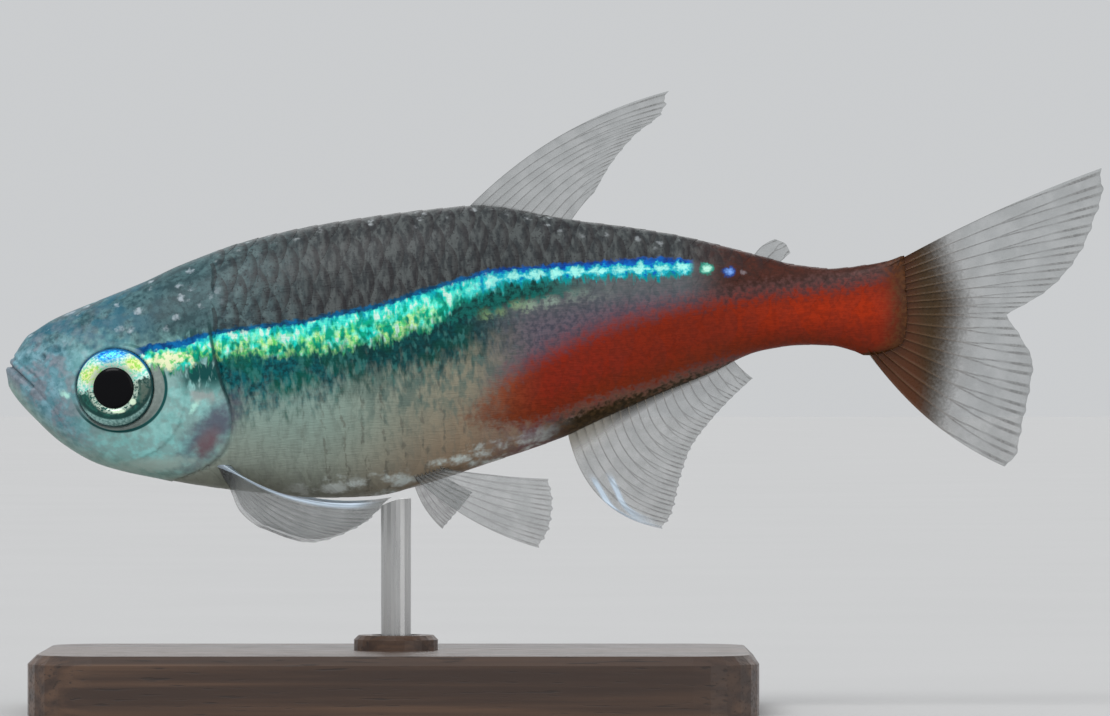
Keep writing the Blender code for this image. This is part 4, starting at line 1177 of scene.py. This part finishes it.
def eye_piece(side, name):
    """An eyeball, with how far out from its axis each point lies."""
    centre, look = on_flank(*EYE_PLACE, side)
    up = np.array([0.0, 0.0, 1.0]) - look * look[2]
    up /= np.linalg.norm(up)
    back = np.cross(look, up)
    turn = 2 * math.pi * np.arange(EYE_SIDES) / EYE_SIDES
    radius, height = curve(EYE_PROFILE, np.linspace(0.012, 1, EYE_RINGS)).T
    arm = np.cos(turn)[:, None] * back + np.sin(turn)[:, None] * up
    grid = centre + radius[:, None, None] * arm[None] + height[:, None, None] * look
    ends = [centre + look * EYE_FRONT, centre + look * EYE_BACK]
    points = np.concatenate([grid.reshape(-1, 3), ends])
    ring = np.arange(EYE_SIDES)
    after = (ring + 1) % EYE_SIDES
    last = (EYE_RINGS - 1) * EYE_SIDES
    first = fan_faces(EYE_RINGS * EYE_SIDES, ring, after)
    final = fan_faces(EYE_RINGS * EYE_SIDES + 1, last + after, last + ring)
    faces = [grid_faces(EYE_RINGS, EYE_SIDES, closed=True)[:, ::-1], first, final]
    if side < 0:
        faces = [part[:, ::-1] for part in faces]
    place = points - (EYE_PLACE[0], 0.0, EYE_PLACE[1])
    out = np.append(np.repeat(radius, EYE_SIDES), [0.0, 0.6])
    return new_mesh(name, points, faces, {"out": out}, place=place)


eyeballs = []
for side, word in ((-1, "left"), (1, "right")):
    eyeballs.append((eye_piece(side, f"eyeball_{word}"), f"eye_{word}"))
print("an eye is", 2 * max(out for out, _ in EYE_PROFILE), "mm wide")

# %% [markdown]
# The iris is blue at the top, then pale turquoise with a gold-green patch on each side of the
# pupil, and dark green and teal below, grey-green behind the pupil. A thin ring of glints lies
# round the pupil, with two brighter spots of painted highlight low down, a silver crescent below
# and behind, and a dark rim outside. Here u and v are counted from the eye's axis.

# %% Eye paint
IRIS_PATCHES = (((-0.72, 0.48), (0.42, 0.34)), ((0.72, 0.74), (0.40, 0.30)))


def paint_eye():
    p = Paint("tetra_eye")
    out = p.attribute("out")
    mottle = p.noise(4.5, 3.0, rough=0.7)
    fine = p.noise(13.0, shift=9.0)
    wander = p.times(p.less(mottle, 0.5), 0.9)

    iris = p.tones(fine, (0.18, 0.78, 0.62), (0.8, 1.0, 0.92), 0.35, 0.62)
    for middle, reach in IRIS_PATCHES:
        gold = p.tones(fine, (0.38, 0.8, 0.11), (0.95, 1.0, 0.44), 0.36, 0.60)
        iris = p.tint(iris, gold, p.stir(p.spot(middle, reach), wander, 2.0), 1.30, 0.45)
    blue = p.tones(fine, (0.0, 0.15, 0.7), (0.03, 0.56, 0.98), 0.36, 0.62)
    cap = p.stir(p.spot((-0.05, 1.20), (0.64, 0.36)), wander, 2.0)
    iris = p.tint(iris, blue, cap, 1.25, 0.55)

    lower = p.tones(mottle, (0.004, 0.05, 0.042), (0.02, 0.15, 0.115), 0.36, 0.64)
    grey = p.times(p.along(0.70, 0.95), p.step(mottle, 0.36, 0.56))
    lower = p.mix(grey, lower, (0.11, 0.16, 0.13))
    iris = p.tint(iris, lower, p.less(p.add(p.v, wander), p.times(p.u, 0.12)), 0.16, 0.00)
    glints = p.times(p.step(out, 0.90, 0.80), p.step(fine, 0.40, 0.54), 0.85)
    iris = p.mix(glints, iris, (0.58, 0.72, 0.6))
    # Painted highlights: two bright spots low in the iris.
    iris_highlights = p.least(p.spot((0.58, -0.50), (0.13, 0.11)), p.spot((0.08, -0.78), (0.24, 0.07)))
    iris = p.tint(iris, (0.78, 0.98, 0.72), p.add(iris_highlights, wander), 1.1, 0.6)

    ball = p.spot((0.0, 0.18), (1.27, 1.20))
    low_rear = p.step(p.less(p.times(p.u, 0.4), p.v), -0.1, 0.5)
    silver = p.tones(fine, (0.15, 0.32, 0.3), (0.36, 0.62, 0.58), 0.35, 0.65)
    iris = p.mix(p.times(p.step(ball, 0.99, 1.05), low_rear), iris, silver)
    edge = p.times(p.step(ball, 0.90, 0.96), p.step(ball, 1.05, 0.99), p.up(0.3, -0.2), 0.8)
    iris = p.mix(edge, iris, (0.003, 0.05, 0.046))
    rim = p.mix(p.up(0.2, 0.8), (0.01, 0.06, 0.062), (0.0, 0.13, 0.36))
    iris = p.tint(iris, rim, out, 1.235, 1.27)
    p.set(Base_Color=p.tint(iris, (0.001, 0.001, 0.002), out, 0.700, 0.675), Roughness=0.25)
    p.set(Metallic=p.step(out, 0.69, 0.72, 0.0, 0.20), Specular_IOR_Level=0.06)
    p.set(Coat_Weight=p.step(out, 0.68, 0.72, 0.14, 0.50), Coat_Roughness=0.03)
    p.bump(fine, 0.15, 0.00003)
    return p.material


eye_material = paint_eye()
for thing, node in eyeballs:
    finish_piece(thing, eye_material, "eye", node)

# %% [markdown]
# ## The fins
#
# A fin is a clear web held by bony rays, which leave the root side by side, bow backwards and
# split into branches towards the edge. Each fin is a curved sheet between its root line and the
# line of the ray tips, its rays raised on both faces. The root is sunk in the body.

# %% Fin sheets
WEB_THICK = 0.035
RAY_THICK = 0.10
RAY_WIDTH = 0.085
COLUMNS_PER_RAY = 12
FIN_ROWS = 64
TWICE_SPLIT = (0.21, 0.09)


def fin_sheet(name, rays, root, tip, bulge, branch_at=0.45, ragged=0.012, sink=0.0):
    """A fin as a thin closed sheet with branching rays; ray 0 is the leading one."""
    columns = (rays - 1) * COLUMNS_PER_RAY + 1
    across = np.linspace(0, 1, columns)
    start, end = curve(root, across), curve(tip, across)
    middle = (start + end) / 2 + curve(bulge, across)
    in_ray = across * (rays - 1)
    notch = ragged * (1 - np.cos(2 * math.pi * in_ray)) / 2
    notch = notch + ragged * 0.6 * (1 - np.cos(4 * math.pi * in_ray)) / 2
    t = np.linspace(-sink, 1, FIN_ROWS)[:, None] * (1 - notch)[None, :]
    s = (1 - t)[..., None]
    place = s**2 * start + 2 * s * t[..., None] * middle + (t**2)[..., None] * end

    # Distance from the nearest branch, which gives the ray's ridge
    far = np.abs(in_ray - np.round(in_ray))[None, :]
    far = np.abs(far - TWICE_SPLIT[0] * smooth_step(t, branch_at, branch_at + 0.35))
    far = np.abs(far - TWICE_SPLIT[1] * smooth_step(t, 0.78, 1.05))
    width = RAY_WIDTH * (1 - 0.40 * smooth_step(t, 0.3, 1.0))
    ray = bell(far, width)
    ease = 1 - 0.45 * smooth_step(t, 0.2, 1.0)
    thick_root = 1 + 1.6 * (1 - smooth_step(t, -0.02, 0.16))
    half = (WEB_THICK + RAY_THICK * ray) * thick_root * ease / 2
    lift = normals_of(place) * half[..., None]

    both = np.concatenate([(place + lift).reshape(-1, 3), (place - lift).reshape(-1, 3)])
    top = grid_faces(FIN_ROWS, columns)
    many = FIN_ROWS * columns
    index = np.arange(many).reshape(FIN_ROWS, columns)
    rim = np.concatenate([index[0], index[1:, -1], index[-1, -2::-1], index[-2:0:-1, 0]])
    after = np.roll(rim, -1)
    edge = np.stack([rim, rim + many, after + many, after], axis=-1)
    values = {"ray": ray, "along": t, "across": np.broadcast_to(across, t.shape)}
    values = {key: np.tile(value.ravel(), 2) for key, value in values.items()}
    return new_mesh(name, both, [top, top[:, ::-1] + many, edge], values)


# %% [markdown]
# Root lines run along the back or the belly, a little under the surface, or across a flank for
# the paired fins. The tail fin's root is a bent line of its own, behind the stalk's end.

# %% Fin roots
ROOT_DEPTH = 0.18
PAIRED_DEPTH = -0.12
TAIL_ROOT = ((29.75, 2.2), (29.75, 1.20), (29.72, -0.60), (29.25, -1.35), (28.85, -2.2))


def along_outline(outline, first, last, depth):
    u = np.linspace(first, last, 9)
    return np.column_stack([u, 0 * u, profile(outline, u) + depth])


def on_side(view, side):
    place, normal = on_flank(*np.array(view, float).T, side)
    return place + normal * PAIRED_DEPTH


def mirrored(points, side):
    return np.array(points, float) * (1, side, 1)


def tail_root(first, last):
    line = curve(TAIL_ROOT, np.linspace(first, last, 9))
    return np.column_stack([line[:, 0], 0 * line[:, 0], line[:, 1]])


# %% [markdown]
# The photo gives each fin's tips. The tail fin is forked: its two lobes share their inner ray,
# from the root's middle to the fork, and the lower lobe is bent a little to the right. The anal
# fin's long front rays hang below the short rear ones.

# %% Each fin
FORK_ROOT = 0.515
FORK = (33.45, 0.1, -0.50)
fins = []


def add_fin(name, node, *shape, **more):
    fins.append((fin_sheet(name, *shape, **more), node))


add_fin(
    "dorsal_sail", "dorsal_fin", 11, along_outline(BACK, 15.75, 19.15, -ROOT_DEPTH),
    ((22.8, 0.1, 7.82), (22.62, 0.1, 7.2), (21.6, 0.05, 6.45), (20.75, 0, 5.6), (20.05, 0, 4.62)),
    ((-0.46, 0, 1.0), (-0.2, 0, 0.5), (0, 0, 0.12)),
)
add_fin(
    "adipose_flap", "adipose_fin", 3, along_outline(BACK, 25.15, 25.95, -ROOT_DEPTH),
    ((25.95, 0, 2.62), (26.3, 0, 2.42), (26.42, 0, 2.12)),
    ((-0.12, 0, 0.16), (0, 0, 0.05), (0, 0, 0)), ragged=0.005,
)
add_fin(
    "tail_lobe_upper", "caudal_fin_upper", 10, tail_root(0.155, FORK_ROOT),
    (
        (37.0, 0.35, 4.14), (37.02, 0.35, 3.5), (36.65, 0.3, 2.45), (36.1, 0.25, 1.4),
        (34.95, 0.15, 0.25), FORK,
    ),
    ((-0.1, 0, 0.3), (0, 0, 0.15), (0, 0, 0)), ragged=0.008, sink=0.12,
)
add_fin(
    "tail_lobe_lower", "caudal_fin_lower", 9, tail_root(FORK_ROOT, 0.91)[::-1],
    (
        (33.03, 1.05, -5.55), (33.42, 1.0, -5.28), (33.74, 0.8, -4.2), (34.06, 0.5, -3.06),
        (34.23, 0.3, -2.14), (33.98, 0.2, -1.45), FORK,
    ),
    ((-0.47, -0.2, -0.52), (-0.1, -0.15, -0.3), (0, 0, 0)), ragged=0.008, sink=0.12,
)
add_fin(
    "anal_sail", "anal_fin", 20, along_outline(BELLY, 18.55, 24.2, ROOT_DEPTH),
    (
        (21.45, 0, -6.72), (21.8, 0, -6.3), (22.2, 0, -5.1), (22.6, 0, -4.15), (23.3, 0, -3.3),
        (24.1, 0, -2.55), (24.85, 0, -1.95),
    ),
    ((-1.1, 0, -1.05), (-0.6, 0, -0.5), (-0.2, 0, -0.2), (-0.05, 0, -0.05)),
)
for side, word in ((-1, "left"), (1, "right")):
    add_fin(
        f"pectoral_fan_{word}", f"pectoral_fin_{word}", 11,
        on_side(((6.98, -3.45), (7.1, -3.70), (7.2, -3.98)), side),
        mirrored(((12.5, 2.75, -5.0), (11.5, 2.8, -5.8), (9.95, 2.7, -6.22), (8.2, 2.3, -5.6)), side),
        mirrored(((-0.3, 0.9, -1.1), (-0.4, 0.8, -0.4)), side),
    )
add_fin(
    "pelvic_fan_left", "pelvic_fin_left", 8,
    on_side(((13.35, -4.42), (13.75, -4.34), (14.2, -4.22)), -1),
    mirrored(((17.31, 1.7, -7.0), (17.75, 1.7, -6.3), (17.9, 1.5, -5.4), (17.8, 1.25, -4.75)), -1),
    mirrored(((-0.3, 0.5, -0.5), (0, 0.4, -0.1)), -1),
)
add_fin(
    "pelvic_fan_right", "pelvic_fin_right", 8,
    on_side(((13.25, -4.42), (13.65, -4.36), (14.05, -4.27)), 1),
    ((14.1, 3.0, -6.2), (14.4, 3.2, -5.9), (14.8, 3.3, -5.5), (15.2, 3.3, -5.05)),
    ((-0.2, 0.7, -0.3), (0, 0.4, -0.1)),
)
print("fins:", len(fins))

# %% [markdown]
# The web is clear and faintly smoky, so its cover is a share of its colour. The rays are nearly
# solid. The tail fin keeps some of the stalk's red-brown at its root. The anal fin is dark
# between its rays near the root, and two streaks by its front edge shine blue-white, as does the
# pectoral fin's leading ray.

# %% Fin colours
STREAKS = (
    (
        (-6.8, 21.7), (-6.73, 21.47), (-6.55, 20.89), (-6.23, 20.21), (-5.79, 19.77),
        (-5.37, 19.54), (-4.9, 19.31), (-4.5, 19.12),
    ),
    ((-6.4, 20.9), (-6.08, 20.49), (-5.82, 20.24), (-5.34, 20.04), (-4.85, 19.85), (-4.5, 19.7)),
)
SHINE = (0.66, 0.78, 0.90)


class FinPaint(Paint):
    """A paint that knows how near a ray, how far out and how far back on its fin a place is."""

    def __init__(self, name):
        super().__init__(name)
        self.ray, self.out, self.back = (self.attribute(key) for key in ("ray", "along", "across"))
        self.fine = self.noise(11.0, shift=7.0)


def tail_marks(p, colour, cover):
    near = p.stir(p.stir(p.u, p.less(p.fine, 0.5), 0.7), p.math("ABSOLUTE", p.v), 0.30)
    near = p.step(near, 33.3, 31.1)
    dark = p.mix(p.fine, (0.036, 0.019, 0.005), (0.07, 0.037, 0.012))
    dark = p.tint(dark, (0.088, 0.027, 0.008), p.u, 30.9, 30.1)
    colour = p.mix(near, colour, p.tint(dark, (0.2, 0.12, 0.06), p.ray, 0.3, 0.9, 0.35))
    return colour, p.most(cover, p.times(near, 0.94))


def anal_marks(p, colour, cover):
    near = p.step(p.out, 0.26, 0.0, 0.0, 0.85)
    shaded = p.tones(p.ray, (0.06, 0.042, 0.024), (0.32, 0.26, 0.18), 0.2, 0.8)
    colour = p.mix(near, colour, p.mix(p.along(19.5, 20.6), (0.5, 0.46, 0.38), shaded))
    cover = p.most(cover, near)
    for points in STREAKS:
        off = p.off(p.u, p.line(p.v, points, (-7.0, -4.0), (18.0, 23.0)))
        off = p.math("DIVIDE", off, p.up(-5.8, -6.7, 0.12, 0.42))
        streak = p.times(p.step(off, 1.3, 0.4), p.up(-4.6, -5.1), p.along(19.9, 21.4, 1.0, 0.25))
        colour, cover = p.mix(streak, colour, SHINE), p.most(cover, p.times(streak, 0.92))
    return colour, cover


def pectoral_marks(p, colour, cover):
    front = p.times(p.step(p.back, 0.09, 0.03), p.step(p.out, 0.98, 0.80))
    return p.mix(front, colour, SHINE), p.most(cover, p.times(front, 0.85))


def paint_fin(name, ray_cover=0.55, marks=None):
    """A fin's clear web and rays, and the marks that only this kind of fin has."""
    p = FinPaint(name)
    mottle = p.noise(1.6)
    web = p.mix(mottle, (0.19, 0.205, 0.205), (0.3, 0.32, 0.32))
    bone = p.tones(p.fine, (0.11, 0.112, 0.11), (0.26, 0.265, 0.26), 0.35, 0.65)
    colour = p.tint(web, bone, p.ray, 0.35, 0.9)
    cover = p.blend(p.step(p.ray, 0.30, 0.95), p.step(mottle, 0.3, 0.7, 0.26, 0.38), ray_cover)
    cover = p.most(cover, p.step(p.out, 0.10, -0.02, 0.0, 0.8))
    if marks:
        colour, cover = marks(p, colour, cover)
    p.set(Base_Color=colour, Alpha=cover, Roughness=p.step(p.fine, 0.3, 0.7, 0.25, 0.40))
    p.set(Specular_IOR_Level=0.25)
    p.bump(p.noise(9.0, 1.0, stretch=(2.0, 1.0, 1.0)), 0.2, 0.00003)
    return p.material


fin_paints = {
    "back": paint_fin("back_web"),
    "tail": paint_fin("tail_web", marks=tail_marks),
    "anal": paint_fin("anal_web", marks=anal_marks),
    "pectoral": paint_fin("pectoral_web", 0.45, pectoral_marks),
    "pelvic": paint_fin("pelvic_web", 0.45),
}
for thing, node in fins:
    made = fin_paints.get(thing.name.split("_")[0], fin_paints["back"])
    finish_piece(thing, made, "fin_web", node)

# %% [markdown]
# ## The stand
#
# A walnut slab with rounded corners and a low collar, and a steel rod. The solids are right as
# they are, so they stay, and only take a better finish. The wood has fibres and darker bands
# drawn out along the slab, and short pores. The rod is brushed upright.

# %% Stand finishes


def paint_wood():
    p = Paint("walnut", on_fish=False)
    fibres = p.grain((60.0, 2500.0, 2500.0), 4.0)
    bands = p.grain((40.0, 420.0, 420.0), 2.0, Distortion=0.6)
    pores = p.grain((700.0, 9000.0, 9000.0), 2.0)
    colour = p.tones(fibres, (0.038, 0.018, 0.01), (0.098, 0.05, 0.027))
    colour = p.tint(colour, (0.03, 0.014, 0.008), bands, 0.48, 0.60, 0.55)
    colour = p.tint(colour, (0.012, 0.006, 0.004), pores, 0.60, 0.72, 0.7)
    p.set(Base_Color=colour, Roughness=p.step(pores, 0.4, 0.7, 0.38, 0.62))
    p.set(Coat_Weight=0.25, Coat_Roughness=0.2)
    p.bump(p.step(pores, 0.60, 0.72, 1.0, 0.0), 0.25, 0.00004)
    return p.material


def paint_steel():
    p = Paint("brushed_steel", on_fish=False)
    lines = p.grain((9000.0, 9000.0, 500.0), 3.0)
    colour = p.mix(lines, (0.42, 0.42, 0.42), (0.66, 0.66, 0.65))
    p.set(Base_Color=colour, Metallic=1.0, Roughness=p.step(lines, 0.3, 0.7, 0.24, 0.42))
    p.bump(lines, 0.15, 0.00002)
    return p.material


for node, made in (("stand_base", paint_wood()), ("stand_rod", paint_steel())):
    solid = frame["nodes"][node]
    solid.data.materials.clear()
    solid.data.materials.append(made)
    print(node, "finished as", made.name)

# %% [markdown]
# ## Floor and light
#
# The stand rests on a pale floor that runs far on all sides. One soft light comes from the upper
# left, a weaker one from the right and one as weak from behind, and the surround is evenly pale.
# A far, wide light is a sun with a broad disc, whose shadows have soft edges.

# %% Floor and light
FLOOR_REACH = 1.5
LIT_PLACE = Vector((0.005, 0.0, 0.011))
SURROUND = (0.96, 0.98, 1.0, 1)
SURROUND_STRENGTH = 0.62
LIGHTS = {
    "key_light": ((-0.35, -0.60, 0.90), 34.0, 1.5),
    "fill_light": ((0.70, -0.60, 0.35), 50.0, 0.5),
    "rim_light": ((0.10, 0.80, 0.60), 40.0, 0.5),
}

corners = [(-1, -1), (1, -1), (1, 1), (-1, 1)]
corners = [(x * FLOOR_REACH, y * FLOOR_REACH, 0.0) for x, y in corners]
floor_mesh = bpy.data.meshes.new("floor")
floor_mesh.from_pydata(corners, [], [(0, 1, 2, 3)])
floor = bpy.data.objects.new("floor", floor_mesh)
bpy.context.scene.collection.objects.link(floor)
floor_paint = Paint("pale_floor", on_fish=False)
cloud = floor_paint.put("ShaderNodeTexCoord", {}, "Object")
cloud = floor_paint.put("ShaderNodeTexNoise", {"Vector": cloud, "Scale": 60.0, "Detail": 2.0})
pale = floor_paint.mix(cloud, (0.49, 0.49, 0.49), (0.52, 0.52, 0.52))
floor_paint.set(Base_Color=pale, Roughness=0.85)
floor_mesh.materials.append(floor_paint.material)
floor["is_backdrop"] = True

world = bpy.data.worlds.new("surround")
world.use_nodes = True
background = world.node_tree.nodes["Background"]
background.inputs["Color"].default_value = SURROUND
background.inputs["Strength"].default_value = SURROUND_STRENGTH
bpy.context.scene.world = world

for name, (place, degrees_wide, power) in LIGHTS.items():
    data = bpy.data.lights.new(name, "SUN")
    data.angle = math.radians(degrees_wide)
    data.energy = power
    lamp = bpy.data.objects.new(name, data)
    lamp.location = place
    lamp.rotation_euler = (LIT_PLACE - Vector(place)).to_track_quat("-Z", "Y").to_euler()
    bpy.context.scene.collection.objects.link(lamp)
print("lights:", len(LIGHTS))

# %% [markdown]
# ## Camera
#
# It looks level at the left flank from 0.30 m, with a long lens, so that the fish fills the frame
# as in the photo.

# %% Camera
CAMERA_FAR = 0.30
VIEW_MIDDLE = (0.0053, 0.0, 0.01173)
VIEW_WIDE = 0.0370
camera_data = bpy.data.cameras.new("camera")
camera_data.sensor_width = 36.0
camera_data.lens = camera_data.sensor_width * CAMERA_FAR / VIEW_WIDE
camera_data.clip_start = 0.01
camera_data.clip_end = 10.0
camera = bpy.data.objects.new("camera", camera_data)
camera.location = (VIEW_MIDDLE[0], -CAMERA_FAR, VIEW_MIDDLE[2])
camera.rotation_euler = (math.radians(90), 0, 0)
bpy.context.scene.collection.objects.link(camera)
bpy.context.scene.camera = camera
bpy.context.scene.view_settings.view_transform = "Standard"
print("lens:", round(camera_data.lens, 1), "mm")

# %% Finish
scene_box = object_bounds()
for axis, letter in enumerate("xyz"):
    cad = (cad_box[1][axis] - cad_box[0][axis]) * 1000
    made = (scene_box[1][axis] - scene_box[0][axis]) * 1000
    print(letter, "solids", round(cad, 2), "mm, dressed", round(made, 2), "mm")
